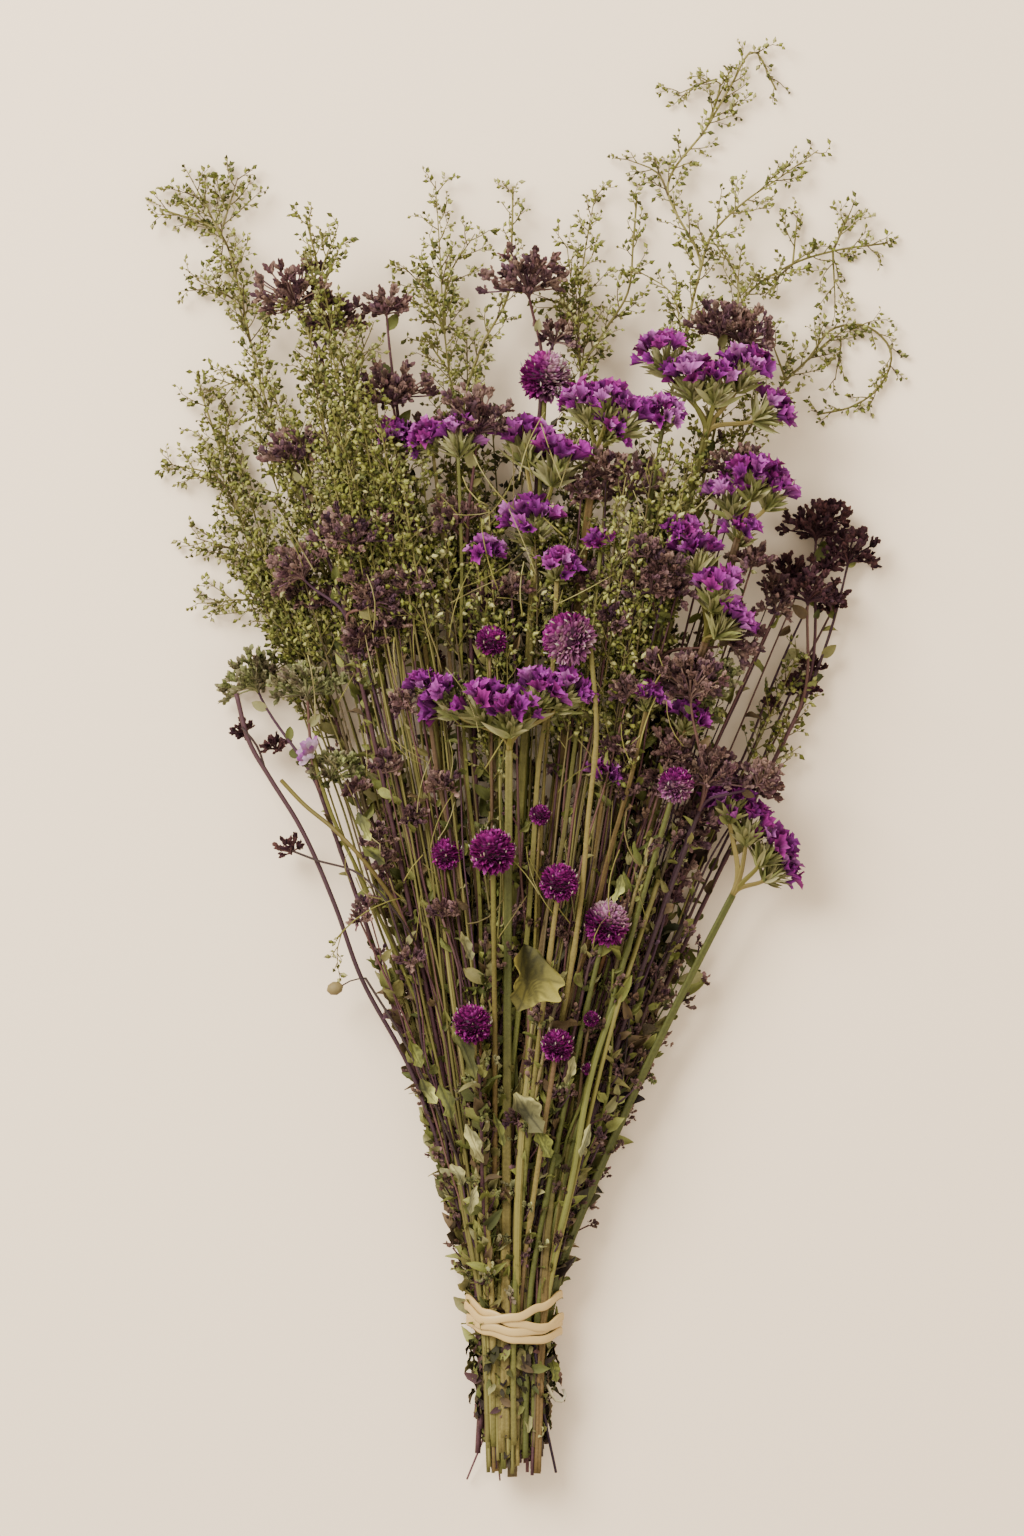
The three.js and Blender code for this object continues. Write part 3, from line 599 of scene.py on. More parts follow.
def bare_share(rng, line):
    """The share of a spray's main twig below its lowest bud, which is near BUDS_FROM, or higher where oregano
    lies in front."""
    behind = -95 < line[-1, 0] < -28
    lowest = rng.normal(BUDS_FROM + 42 * behind, 22)
    return float(np.clip((lowest - line[0, 1]) / (line[-1, 1] - line[0, 1]), 0.3, 0.85))


def spray(pile, rng, lines, density=1.0, first=0.42, reach_out=19.0, palette=BUDS, thick=1.0, coarse=1.0):
    """A twig with side twigs, whose own shoots carry small buds."""
    for number, line in enumerate(lines):
        stalk(pile, rng, line, thick if number == 0 else thick * 0.5, TWIGS, 6, taper=0.65)
    starts = [line[int(len(line) * first) :] if number == 0 else line for number, line in enumerate(lines)]
    at, leaving, arriving, lengths = sprout(rng, starts, 3.6 / density, reach_out, 0.8, fade=0.6, rise=0.75)
    twigs = on_table(arcs(at, leaving, arriving, lengths, 6), CLEARANCE, BED)
    plain_tubes(pile, rng, twigs, 0.3, 0.14, TWIGS, 3)
    buds(pile, rng, twigs, lengths, 2.4 * coarse, 2.6 * coarse, palette)
    at, leaving, arriving, small = sprout(rng, list(twigs), 2.7 * coarse, 6.0, 0.85, 0.12, 0.35, 0.9)
    shoots = on_table(arcs(at, leaving, arriving, small, 2), CLEARANCE, BED)
    plain_tubes(pile, rng, shoots, 0.13, 0.13, TWIGS, 3)
    buds(pile, rng, shoots, small, 1.25 * coarse, 2.5 * coarse, palette)


def fan_out(rng, way, count, spread):
    """Directions spread evenly round way, up to spread radians from it (a Fibonacci cap)."""
    up = np.eye(3)[np.argmin(np.abs(way))]
    side = unit(np.cross(way, up))
    lift = np.cross(side, way)
    order = np.arange(count) + 0.5
    lean = np.arccos(1 - order / count * (1 - math.cos(spread)))[:, None] * rng.uniform(0.92, 1.08, (count, 1))
    roll = (order * GOLDEN_ANGLE + rng.uniform(0, 6))[:, None]
    return way * np.cos(lean) + (side * np.cos(roll) + lift * np.sin(roll)) * np.sin(lean)


def branch_out(pile, rng, line, base, way, thick, thin, palette, sides, ridges=0, depth=0.0):
    """Branches from a stalk's end to the places base, where they arrive along way."""
    start = np.broadcast_to(line[-1], base.shape)
    leaving = np.broadcast_to(unit(line[-1] - line[-3]), base.shape)
    branches = reach(start, leaving, base, way, 12)
    plain_tubes(pile, rng, branches, thick, thin, palette, sides, ridges, depth)
    return branches


def oregano_lobe(pile, rng, middle, way, radius, palette, ears):
    """A rounded cluster. Tufts of spikelets stand evenly over a dome, each tuft opening outwards, and twigs lead
    from the root to the tufts. The spikelets are painted dark at their bases, as shade inside the cluster, and
    bright at their tips, as painted light."""
    root = middle - way * radius * 0.95
    tufts = int(6 + 0.21 * radius**2)
    out = fan_out(rng, way, tufts, 1.5)
    distance = radius * rng.uniform(0.5, 1.2, (tufts, 1))
    base = root + out * distance * 0.95 + way * radius * 0.15
    each = 5
    index = np.repeat(np.arange(tufts), each)
    count = len(index)
    along = unit(out[index] + way * 0.3 + rng.normal(0, 0.55, (count, 3)))
    length = rng.uniform(3.6, 6.0, count) * min(1.0, 0.65 + radius / 18)
    at = base[index] - along * length[:, None] * 0.15
    tint = pick(rng, palette, tufts, 0.12)[index] * 0.5 + pick(rng, palette, count, 0.2) * 0.5
    kind = rng.integers(len(ears), size=count)
    width = rng.uniform(0.72, 0.98, count)
    size = np.stack([length * width, length, length * width], 1)
    # Painted shade and light: from a dark base colour deep in the cluster to a bright tip colour outside it.
    place_kinds(pile, rng, ears, kind, at, along, TILTED, size, tint * 0.6, tint * 2.0)
    lines = reach(np.broadcast_to(root, base.shape), np.broadcast_to(way, base.shape), base, out, 6)
    tubes(pile, lines, np.full((tufts, 6), 0.3), np.repeat(tint[::each][:, None], 6, 1), 4)


def oregano_top(pile, rng, line, blooms, palette, ears):
    """The branches from a stalk's end to its clusters, and the clusters."""
    middle, way, radius = blooms
    base = middle - way * (radius * 0.95)[:, None]
    branches = branch_out(pile, rng, line, base, way, 0.75, 0.45, BROWN_STALKS, 5)
    for m, w, r in zip(middle, way, radius):
        oregano_lobe(pile, rng, m, w, r * 1.28, palette, ears)
    at, leaving, arriving, length = sprout(rng, list(branches), 12, 9, 0.7, 0.2, 0.2)
    if len(at):
        leaf = sheet(6, 5, 0.55, 0.5, 0.25, 0.04)
        tint = pick(rng, LEAVES, len(at))
        place(pile, leaf, at, leaving, UP, rng.uniform(4, 8, len(at)), tint, tint * 1.2)


def side_tufts(pile, rng, lines, spacing, first, palette, ears):
    """Short side branches along lines, each with a small tuft of spikelets at its end. The spikelets are painted
    dark at their bases, as shade inside the tuft, and bright at their tips, as painted light.
    """
    at, leaving, arriving, lengths = sprout(rng, lines, spacing, 10, 0.7, first, 0.2, 1.0)
    twigs = on_table(arcs(at, leaving, arriving, lengths, 4), 2, BED)
    plain_tubes(pile, rng, twigs, 0.3, 0.3, BROWN_STALKS, 4)
    index = np.repeat(np.arange(len(twigs)), 6)
    along = unit(arriving[index] + rng.normal(0, 0.6, (len(index), 3)))
    length = rng.uniform(2.6, 4.4, len(index))
    tint = pick(rng, palette, len(twigs), 0.2)[index] * 0.6 + pick(rng, palette, len(index), 0.2) * 0.4
    kind = rng.integers(len(ears), size=len(index))
    for number, template in enumerate(ears):
        own = kind == number
        start = twigs[index[own], -1] + rng.normal(0, 0.9, (own.sum(), 3))
        roll = rng.uniform(0, 6, own.sum())
        # Painted shade and light: spikelets dark at their bases inside the tuft, bright at their tips.
        base, tip = tint[own] * 0.7, tint[own] * 1.9
        place(pile, template, start, along[own], TILTED, length[own], base, tip, roll)


def amaranth_head(pile, rng, middle, way, radius, pale=None, strength=0.0):
    """A globe of narrow scales in spirals. Each is rooted inside, leans from the surface's outward direction
    towards the top, and is painted dark at its base, as shade inside the globe, and brighter at its tip; a dark
    ball inside the scales is painted shade between them, and small cream florets stand between them. The side
    that faces pale has pinkish cream tips."""
    count = int(280 + 32 * radius)
    scale = sheet(4, 3, 0.5, fold=0.7, curl=-0.1, blunt=0.55)
    outward = fan_out(rng, way, count, 2.8)
    root = middle + outward * radius * 0.58
    along = unit(outward + way * rng.uniform(0.1, 0.6, (count, 1)) + rng.normal(0, 0.08, (count, 3)))
    size = radius * rng.uniform(0.32, 0.44, count)
    # Painted shade and light: each scale is dark at its base, deep in the globe, and light at its tip.
    base = pick(rng, MAGENTAS, count, 0.15) * 0.5
    tip = pick(rng, MAGENTAS, count, 0.2) * 1.3
    if pale is not None:
        facing = np.clip((outward @ unit(np.asarray(pale, float))) * 1.5 + 0.1, 0, 1)[:, None] * strength
        pink = pick(rng, tones("e0a8bc", "f0d0c4", "cc86b4"), count)
        tip = mix(tip, pink * 1.5, facing)
        base = mix(base, pink * 0.5, facing * 0.7)
    place(pile, scale, root, along, -outward + 0.01, size, base, tip)
    # Painted shade: a dark ball inside the scales stands for the shade between them.
    shade_core = revolved([(0.05, -0.74), (0.55, -0.5), (0.74, 0), (0.55, 0.5), (0.05, 0.74)], 12)
    dark = tone("4a0634")[None] * 0.7
    place(pile, shade_core, middle[None], way[None], np.array([0.3, 0.2, 1.0]), np.array([radius]), dark, dark)
    flecks = int(6 + 2.6 * radius)
    outward = unit(fan_out(rng, way, flecks, 2.1) + rng.normal(0, 0.16, (flecks, 3)))
    cream = pick(rng, CREAMS, flecks, 0.1)
    speck = revolved([(0.04, 0), (0.3, 0.4), (0.24, 0.75), (0.04, 1)], 5)
    grow = rng.uniform(0.5, 1.3, flecks)[:, None] * (0.5 + radius / 16) * np.array([0.8, 1.5, 0.8])
    at = middle + outward * radius * 0.92
    place(pile, speck, at, unit(outward * 0.4 + way), np.array([0, 0.1, 1.0]), grow, cream * 0.6, cream * 0.85)


def statice_lobe(pile, rng, middle, way, radius, funnels):
    """Papery funnels that open outwards, above a fan of pointed green bracts with straw tips. The funnels are
    painted darker towards their bases, as shade inside them.
    """
    root = middle - way * radius * 1.0
    count = int(8 + radius * 1.9)
    along = unit(fan_out(rng, way, count, 0.85) + rng.normal(0, 0.15, (count, 3)))
    length = (2.4 + radius * 0.26) * rng.uniform(0.8, 1.2, count)
    at = root + along * radius * rng.uniform(0.95, 1.35, (count, 1))
    tint = pick(rng, VIOLETS, count, 0.12)
    kind = rng.integers(len(funnels), size=count)
    wide = rng.uniform(1.0, 1.5, count)
    size = np.stack([length * wide, length, length * wide * 0.85], 1)
    # Painted shade: each funnel is darker towards its base, deep inside it.
    place_kinds(pile, rng, funnels, kind, at, along, np.array([0.2, 0.1, 1.0]), size, tint * 0.5, tint * 1.35)
    green = int(count * 2.6)
    along = fan_out(rng, way, green, 1.15)
    start = root - way * radius * rng.uniform(0, 0.6, (green, 1))
    length = radius * rng.uniform(1.1, 1.75, green)
    width = radius * rng.uniform(0.2, 0.36, green)
    bract = sheet(6, 3, 1.0, fold=0.6, curl=-0.08, blunt=0.9)
    base, tip = pick(rng, CALYXES, green), pick(rng, STRAW_TIPS, green)
    size = np.stack([width, length, width], 1)
    place(pile, bract, start, along, UP, size, base, tip, rng.uniform(0, 6, green))


def statice_top(pile, rng, line, blooms, funnels):
    """The winged branches from a stalk's end to its clusters, and the clusters."""
    middle, way, radius = blooms
    base = middle - way * (radius * 1.1)[:, None]
    branch_out(pile, rng, line, base, way, 1.2, 0.8, OLIVE_STALKS[:3], 12, 3, 0.5)
    for m, w, r in zip(middle, way, radius):
        statice_lobe(pile, rng, m, w, r, funnels)


def leaf_shapes(rows, columns):
    """A flat, a folded, an upturned and a rolled leaf."""
    return [
        sheet(rows, columns, 0.50, 0.45, 0.30, 0.07, 0.7, 1),
        sheet(rows, columns, 0.42, 1.00, 0.45, 0.05, 0.8, 2),
        sheet(rows, columns, 0.60, 0.25, -0.35, 0.12, 0.6, 3),
        sheet(rows, columns, 0.34, 1.50, 0.15, 0.07, 0.9, 4),
    ]


def leaves_on(pile, rng, lines, spacing, size, first=0.0, palette=LEAVES, rows=7, columns=5):
    """Small leaves along lines, each on the stalk's surface and turned at random."""
    at, leaving, _, length = sprout(rng, lines, spacing, 1.0, 0.85, first, 0.3, 1.0)
    if not len(at):
        return
    tint = pick(rng, palette, len(at), 0.2)
    kind = rng.integers(4, size=len(at))
    for number, template in enumerate(leaf_shapes(rows, columns)):
        own = kind == number
        grow = size * rng.uniform(0.55, 1.3, own.sum())
        roll = rng.normal(0, 0.9, own.sum())
        base, tip = tint[own] * 0.85, tint[own] * 1.4
        place(pile, template, at[own], leaving[own], np.array([0.1, 0, 1.0]), grow, base, tip, roll)


# ---- Materials ----------------------------------------------------------------------------------------


class Socket:
    """A shader value. Plain operators build the node that works them out."""

    def __init__(self, shader, output):
        self.shader, self.output = shader, output

    def maths(self, operation, other):
        node = self.shader.node("ShaderNodeMath", {0: self, 1: other}, operation=operation)
        return Socket(self.shader, node.outputs[0])

    def __add__(self, other):
        return self.maths("ADD", other)

    def __mul__(self, other):
        return self.maths("MULTIPLY", other)

    __radd__, __rmul__ = __add__, __mul__


class Shader:
    """A new material and its node tree. Its noise is placed by Object coordinates."""

    def __init__(self, name):
        self.material = bpy.data.materials.new(name)
        self.material.use_nodes = True
        self.tree = self.material.node_tree
        self.surface = self.tree.nodes["Principled BSDF"]

    def node(self, kind, inputs=None, **settings):
        made = self.tree.nodes.new(kind)
        for key, value in settings.items():
            setattr(made, key, value)
        self.feed(made, inputs or {})
        return made

    def feed(self, node, inputs):
        for key, value in inputs.items():
            if isinstance(value, Socket):
                self.tree.links.new(value.output, node.inputs[key])
            else:
                node.inputs[key].default_value = value

    def noise(self, scale):
        place_of = self.node("ShaderNodeTexCoord")
        inputs = {"Vector": Socket(self, place_of.outputs["Object"]), "Scale": scale, "Detail": 3.0}
        return Socket(self, self.node("ShaderNodeTexNoise", inputs).outputs["Fac"])

    def shade(self):
        """The colour that the mesh carries."""
        return Socket(self, self.node("ShaderNodeAttribute", attribute_name="shade").outputs["Color"])

    def relief(self, scale, strength, distance):
        """Fine noise as a bump."""
        inputs = {"Height": self.noise(scale), "Strength": strength, "Distance": distance}
        return Socket(self, self.node("ShaderNodeBump", inputs).outputs[0])


def plant_material(name, roughness, mottle, bump):
    """Paint from the mesh's own colours, mottled by fine noise: brightness is DEPTH (1 - mottle / 2 + mottle
    noise)."""
    shader = Shader(name)
    paint = shader.shade()
    light = shader.noise(900.0) * (DEPTH * mottle) + DEPTH * (1 - mottle / 2)
    grey = shader.node("ShaderNodeCombineColor", {0: light, 1: light, 2: light})
    blended = {0: 1.0, 6: paint, 7: Socket(shader, grey.outputs[0])}  # factor and the two colours
    mixed = shader.node("ShaderNodeMix", blended, data_type="RGBA", blend_type="MULTIPLY")
    finish = {
        "Base Color": Socket(shader, mixed.outputs[2]),
        "Roughness": roughness,
        "Specular IOR Level": PLANT_SPECULAR,
        "Normal": shader.relief(1400.0, bump, 0.0004),
    }
    shader.feed(shader.surface, finish)
    return shader.material


def finish_piece(pile, name, material, nodes=()):
    """The pile as one mesh with the given material that rides on the bunch; the CAD nodes given are hidden."""
    piece = pile.build(name, material)
    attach(piece, "root")
    if nodes:
        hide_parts(*nodes)
    return piece


# ---- Settings -----------------------------------------------------------------------------------------


class StaticeSettings(bpy.types.PropertyGroup):
    radius: FloatProperty(name="Stalk radius", description="Over the wings, in mm", default=2.1, min=0.5, max=5)
    seed: IntProperty(name="Seed", description="Chooses the crumpling", default=11, min=0)


class AmaranthSettings(bpy.types.PropertyGroup):
    radius: FloatProperty(name="Stalk radius", description="In mm", default=1.15, min=0.3, max=3)
    seed: IntProperty(name="Seed", description="Chooses the scales", default=23, min=0)


class OreganoSettings(bpy.types.PropertyGroup):
    radius: FloatProperty(name="Stalk radius", description="In mm", default=1.05, min=0.3, max=3)
    seed: IntProperty(name="Seed", description="Chooses the spikelets", default=37, min=0)


class SpraySettings(bpy.types.PropertyGroup):
    density: FloatProperty(name="Density", description="How close the side twigs stand", default=1.0, min=0.2, max=3)
    seed: IntProperty(name="Seed", description="Chooses the twigs", default=41, min=0)


class FillSettings(bpy.types.PropertyGroup):
    stalks: IntProperty(name="Stalks", description="Thin stalks between the CAD ones", default=110, min=0, max=400)
    leaf: FloatProperty(name="Leaf length", description="In mm", default=8.0, min=1, max=30)
    seed: IntProperty(name="Seed", description="Chooses the stalks", default=53, min=0)


class BandSettings(bpy.types.PropertyGroup):
    width: FloatProperty(name="Strand width", description="In mm", default=3.0, min=0.5, max=10)
    thickness: FloatProperty(name="Strand thickness", description="In mm", default=1.35, min=0.2, max=4)
    colour: FloatVectorProperty(
        name="Colour", description="Of the rubber", subtype="COLOR", size=3, default=tuple(tone("b2945a"))
    )


class BunchSettings(bpy.types.PropertyGroup):
    statice: PointerProperty(type=StaticeSettings)
    amaranth: PointerProperty(type=AmaranthSettings)
    oregano: PointerProperty(type=OreganoSettings)
    spray: PointerProperty(type=SpraySettings)
    fill: PointerProperty(type=FillSettings)
    band: PointerProperty(type=BandSettings)


# ---- Operators ----------------------------------------------------------------------------------------


class BunchOperator:
    """What every operator here shares."""

    bl_options = {"REGISTER", "UNDO"}

    @staticmethod
    def each(settings, count):
        """The numbers of count plants of a kind, each with its own random draws."""
        for number in range(1, count + 1):
            yield number, np.random.default_rng(settings.seed * 100 + number)


class BUNCH_OT_statice(BunchOperator, bpy.types.Operator):
    """Grow the statice"""

    bl_idname = "bunch.statice"
    bl_label = "Statice"

    def execute(self, context):
        settings = context.scene.bunch.statice
        stems = plant_material("statice_stalk", 0.6, 0.8, 0.5)
        petals = plant_material("statice_flower", 0.65, 0.3, 0.4)
        funnels = [funnel(settings.seed + k) for k in range(4)]
        for number, rng in self.each(settings, 7):
            node = f"statice_stalk_{number}"
            line = CAD.stalks[node]
            pile = Pile()
            stalk(pile, rng, line, settings.radius, OLIVE_STALKS, 18, 3, 0.45, 0.3)
            finish_piece(pile, node + "_winged", stems, [node])
            node = f"statice_flower_cluster_{number}"
            pile = Pile()
            statice_top(pile, rng, line, CAD.heads[node], funnels)
            finish_piece(pile, node + "_papery", petals, [node])
        return {"FINISHED"}


PALE_SIDES = {  # by the flower head's number: which way its pale side faces, and how pale it is
    1: ((1, -0.1, 0.2), 1.0),
    2: ((0.3, -0.4, 0.5), 0.55),
    5: ((0.5, 0.9, 0.1), 0.7),
    8: ((0, -1, 0.3), 0.5),
}


class BUNCH_OT_amaranth(BunchOperator, bpy.types.Operator):
    """Grow the globe amaranth"""

    bl_idname = "bunch.amaranth"
    bl_label = "Globe amaranth"

    def execute(self, context):
        settings = context.scene.bunch.amaranth
        stems = plant_material("amaranth_stalk", 0.6, 0.8, 0.5)
        scales = plant_material("amaranth_flower", 0.6, 0.25, 0.3)
        for number, rng in self.each(settings, 8):
            node = f"amaranth_stalk_{number}"
            pile = Pile()
            stalk(pile, rng, CAD.stalks[node], settings.radius, OLIVE_STALKS, 9, 6, 0.12, 0.2, 70)
            finish_piece(pile, node + "_ridged", stems, [node])
            node = f"amaranth_flower_head_{number}"
            pile = Pile()
            for middle, way, radius in zip(*CAD.heads[node]):
                amaranth_head(pile, rng, middle, way, radius, *PALE_SIDES.get(number, ()))
            finish_piece(pile, node + "_scales", scales, [node])
        return {"FINISHED"}


TOP_PALETTES = {8: MAROONS, 7: GREENS, 6: MAUVES, 10: MAUVES}  # by the flower top's number; the others are brown


class BUNCH_OT_oregano(BunchOperator, bpy.types.Operator):
    """Grow the oregano"""

    bl_idname = "bunch.oregano"
    bl_label = "Oregano"

    def execute(self, context):
        settings = context.scene.bunch.oregano
        stems = plant_material("oregano_stalk", 0.65, 0.8, 0.5)
        scales = plant_material("oregano_flower", 0.75, 0.35, 0.4)
        ears = [ear(settings.seed + k) for k in range(3)]
        for number, rng in self.each(settings, 10):
            node = f"oregano_stalk_{number}"
            line = CAD.stalks[node]
            pile = Pile()
            stalk(pile, rng, line, settings.radius, BROWN_STALKS, 8, 4, 0.1, 0.3, 45)
            leaves_on(pile, rng, [line], 9, 6, 0.16)
            finish_piece(pile, node + "_leafy", stems, [node])
            node = f"oregano_flower_top_{number}"
            pile = Pile()
            palette = TOP_PALETTES.get(number, BROWNS)
            oregano_top(pile, rng, line, CAD.heads[node], palette, ears)
            finish_piece(pile, node + "_spikelets", scales, [node])
        return {"FINISHED"}


# How close each spray's side twigs stand, and their length in mm.
SPRAY_KINDS = [(1.3, 20), (1.35, 20), (1.3, 18), (1.05, 19), (1.0, 18), (1.0, 16), (1.0, 16), (1.0, 15)]


class BUNCH_OT_sprays(BunchOperator, bpy.types.Operator):
    """Grow the green sprays"""

    bl_idname = "bunch.sprays"
    bl_label = "Green sprays"

    def execute(self, context):
        settings = context.scene.bunch.spray
        material = plant_material("green_spray", 0.7, 0.3, 0.2)
        for number, rng in self.each(settings, 8):
            node = f"green_spray_{number}"
            pile = Pile()
            dense, reach_out = SPRAY_KINDS[number - 1]
            lines = CAD.sprays[node]
            spray(pile, rng, lines, settings.density * dense, bare_share(rng, lines[0]), reach_out)
            finish_piece(pile, node + "_budded", material, [node])
        return {"FINISHED"}


# More flowers on thin stalks: x and y in mm, height in percent of the bunch's, and radius in mm. Oregano flowers
# left of LONE_STALK_EDGE stand on one of the single stalks instead.
LONE_STALK_EDGE = -80
MORE_OREGANO = {
    "brown": [
        (-47, 88, 80, 8), (-69, 84, 62, 7), (-56, 63, 78, 7), (-58, 45, 74, 7), (-47, 51, 80, 5), (27, 106, 82, 8),
        (19, 97, 82, 6), (-6, 63, 84, 5), (21, 66, 84, 5), (69, 106, 60, 6), (78, 109, 55, 6), (88, 63, 30, 5),
        (79, 74, 56, 7), (89, 56, 40, 5), (45, 35, 86, 6), (52, 6, 74, 7), (68, 0, 58, 6), (52, -1, 70, 6),
        (79, -8, 44, 5), (60, -18, 52, 6), (58, -24, 50, 6), (54, -39, 46, 5), (51, -45, 42, 5), (29, 0, 78, 6),
        (33, 7, 80, 5), (35, -9, 74, 4), (75, 51, 60, 6), (-83, 63, 40, 6), (-73, 59, 50, 5), (-62, -8, 60, 4),
        (-49, 0, 76, 5), (-60, 45, 70, 6), (-14, 60, 70, 6), (-54, -28, 66, 5), (-41, -18, 78, 4), (-31, -51, 78, 5),
        (12, -59, 76, 4), (6, -88, 80, 4), (-52, -36, 64, 4),
    ],
    "mauve": [
        (-43, 65, 84, 7), (31, 52, 88, 6), (41, 76, 88, 6), (48, 70, 88, 7), (53, 62, 84, 6), (60, 35, 74, 7),
        (34, 27, 88, 6), (44, -6, 70, 5), (-31, -6, 84, 5), (-44, 22, 86, 5), (4, -104, 76, 4), (45, -83, 36, 4),
        (42, -76, 34, 2), (-4, -125, 80, 4), (-42, -69, 66, 4), (-60, -55, 56, 3), (-58, -50, 56, 3),
    ],
    "maroon": [
        (109, 90, 16, 6), (95, 70, 16, 7), (107, 72, 12, 5), (108, 58, 12, 5), (102, 35, 10, 3), (87, 21, 12, 2),
        (-91, 7, 20, 4), (-86, -30, 24, 4), (-102, 12, 18, 3),
    ],
    "green": [(66, 30, 66, 6), (70, 32, 60, 5), (62, 25, 70, 6), (62, 18, 66, 6), (-93, 35, 20, 6), (-25, 26, 90, 5)],
}
MORE_STATICE = [
    (-47, 115, 72, 5), (-37, 114, 78, 5), (-26, 115, 82, 6), (57, 16, 72, 5), (42, 23, 84, 4), (27, -4, 78, 4),
    (48, 123, 76, 5), (30, 118, 76, 5), (25, 77, 88, 3), (11, 69, 90, 5),
    (-15, 74, 84, 4), (75, 83, 58, 5), (54, 81, 80, 5), (-37, 27, 86, 4),
]
MORE_AMARANTH = [
    (-13, 42, 80, 6), (-29, -33, 72, 6), (22, -91, 80, 3), (21, -109, 78, 2.4), (4, -19, 74, 4), (10, 68, 74, 4),
]


class BUNCH_OT_more_flowers(BunchOperator, bpy.types.Operator):
    """Grow the smaller flowers between the CAD ones"""

    bl_idname = "bunch.more_flowers"
    bl_label = "More flowers"

    @staticmethod
    def stand(rng, x, y, share, radius):
        """Middle and direction of a flower, and its stalk, which ends below the middle."""
        middle = np.array([x, y, max(share / 100 * top_height(y), radius + 1)])
        way = unit(np.array([x * 0.004, 1, 0.45]) + rng.normal(0, 0.22, 3))
        return middle, way, smooth_line(guide(rng, middle - way * radius * 0.95), 6)

    def execute(self, context):
        settings = context.scene.bunch
        rng = np.random.default_rng(settings.oregano.seed * 7)
        scales = plant_material("more_oregano", 0.75, 0.35, 0.4)
        stems = plant_material("more_stalk", 0.65, 0.8, 0.5)
        ears = [ear(settings.oregano.seed + k) for k in range(3)]
        palettes = {"brown": BROWNS, "mauve": MAUVES, "maroon": MAROONS, "green": GREENS}
        stalks = Pile()
        for kind, flowers in MORE_OREGANO.items():
            pile = Pile()
            for flower in flowers:
                middle, way, line = self.stand(rng, *flower)
                oregano_lobe(pile, rng, middle, way, flower[3], palettes[kind], ears)
                if flower[0] > LONE_STALK_EDGE:
                    stalk(stalks, rng, line, rng.uniform(0.4, 0.8), BROWN_STALKS, 5, taper=0.4)
                    leaves_on(stalks, rng, [line], 22, 6, 0.2)
            finish_piece(pile, f"more_oregano_{kind}", scales)
        finish_piece(stalks, "more_oregano_stalks", stems)
        pile, stalks = Pile(), Pile()
        funnels = [funnel(settings.statice.seed + k) for k in range(4)]
        for flower in MORE_STATICE:
            middle, way, line = self.stand(rng, *flower)
            statice_lobe(pile, rng, middle, way, flower[3], funnels)
            stalk(stalks, rng, line, rng.uniform(0.9, 1.4), OLIVE_STALKS, 12, 3, 0.45, 0.3)
        finish_piece(pile, "more_statice", plant_material("more_statice", 0.65, 0.3, 0.4))
        finish_piece(stalks, "more_statice_stalks", stems)
        pile, stalks = Pile(), Pile()
        for flower in MORE_AMARANTH:
            middle, way, line = self.stand(rng, *flower)
            amaranth_head(pile, rng, middle, way, flower[3])
            stalk(stalks, rng, line, 0.7, OLIVE_STALKS, 7, taper=0.2)
        finish_piece(pile, "more_amaranth", plant_material("more_amaranth", 0.6, 0.25, 0.3))
        finish_piece(stalks, "more_amaranth_stalks", stems)
        return {"FINISHED"}


# Ends of more sprays: x and y in mm, height in percent of the bunch's, and length of the side twigs in mm.
MORE_SPRAYS = [
    (-84, 104, 50, 16), (-64, 112, 62, 16), (-58, 128, 56, 18), (-70, 96, 70, 16), (-40, 100, 70, 14),
    (-30, 84, 80, 14), (-18, 70, 80, 14), (-28, 120, 50, 18), (12, 78, 78, 14), (20, 90, 70, 14), (24, 60, 86, 14),
    (34, 92, 72, 14), (40, 56, 88, 14), (48, 88, 80, 14), (56, 104, 72, 14), (-8, 50, 84, 12), (34, 40, 88, 12),
    (-96, 80, 30, 16), (62, 118, 60, 14), (34, 100, 92, 12), (44, 108, 86, 12), (36, 84, 94, 11), (54, 94, 84, 11),
    (-106, 112, 16, 16), (-98, 120, 24, 16), (-78, 140, 30, 16), (72, 66, 60, 12), (-52, 78, 80, 14),
    (20, 150, 26, 18),
    (-22, 150, 26, 18), (96, 38, 16, 14), (100, 26, 12, 12), (-78, 152, 66, 14), (-70, 148, 78, 14), (-62, 142, 84, 14),
    (-54, 130, 86, 13), (-66, 130, 84, 13), (-76, 136, 70, 14), (-56, 116, 92, 12), (-48, 106, 92, 12),
    (-90, 130, 40, 16),
    (-104, 92, 20, 15), (-96, 62, 20, 15), (-88, 48, 24, 14), (30, 78, 92, 11), (38, 68, 92, 11), (50, 108, 84, 11),
    (-68, 120, 96, 14), (-60, 128, 98, 13), (-52, 118, 98, 13), (-74, 126, 80, 14),
    (-44, 96, 98, 12), (-82, 118, 60, 15), (-64, 104, 92, 12), (-38, 112, 80, 12), (-92, 70, 34, 15), (-84, 80, 50, 14),
    (-14, 88, 86, 11), (2, 84, 86, 11), (16, 44, 92, 10),
]
# The bunch's edges seen from above: y, left and right in mm.
FAN_EDGES = [
    (-198, -12, 12), (-130, -34, 22), (-60, -60, 42), (0, -82, 60), (60, -98, 72), (110, -92, 74), (140, -80, 60),
]


def inside_fan(rng, low, high, margin=0.85):
    """A random place (x, y) between the bunch's edges, with y from low to high."""
    y, left, right = np.array(FAN_EDGES, float).T
    at = rng.uniform(low, high)
    edges = np.interp(at, y, left), np.interp(at, y, right)
    middle, half = (edges[0] + edges[1]) / 2, (edges[1] - edges[0]) / 2
    return middle + half * margin * rng.uniform(-1, 1), at


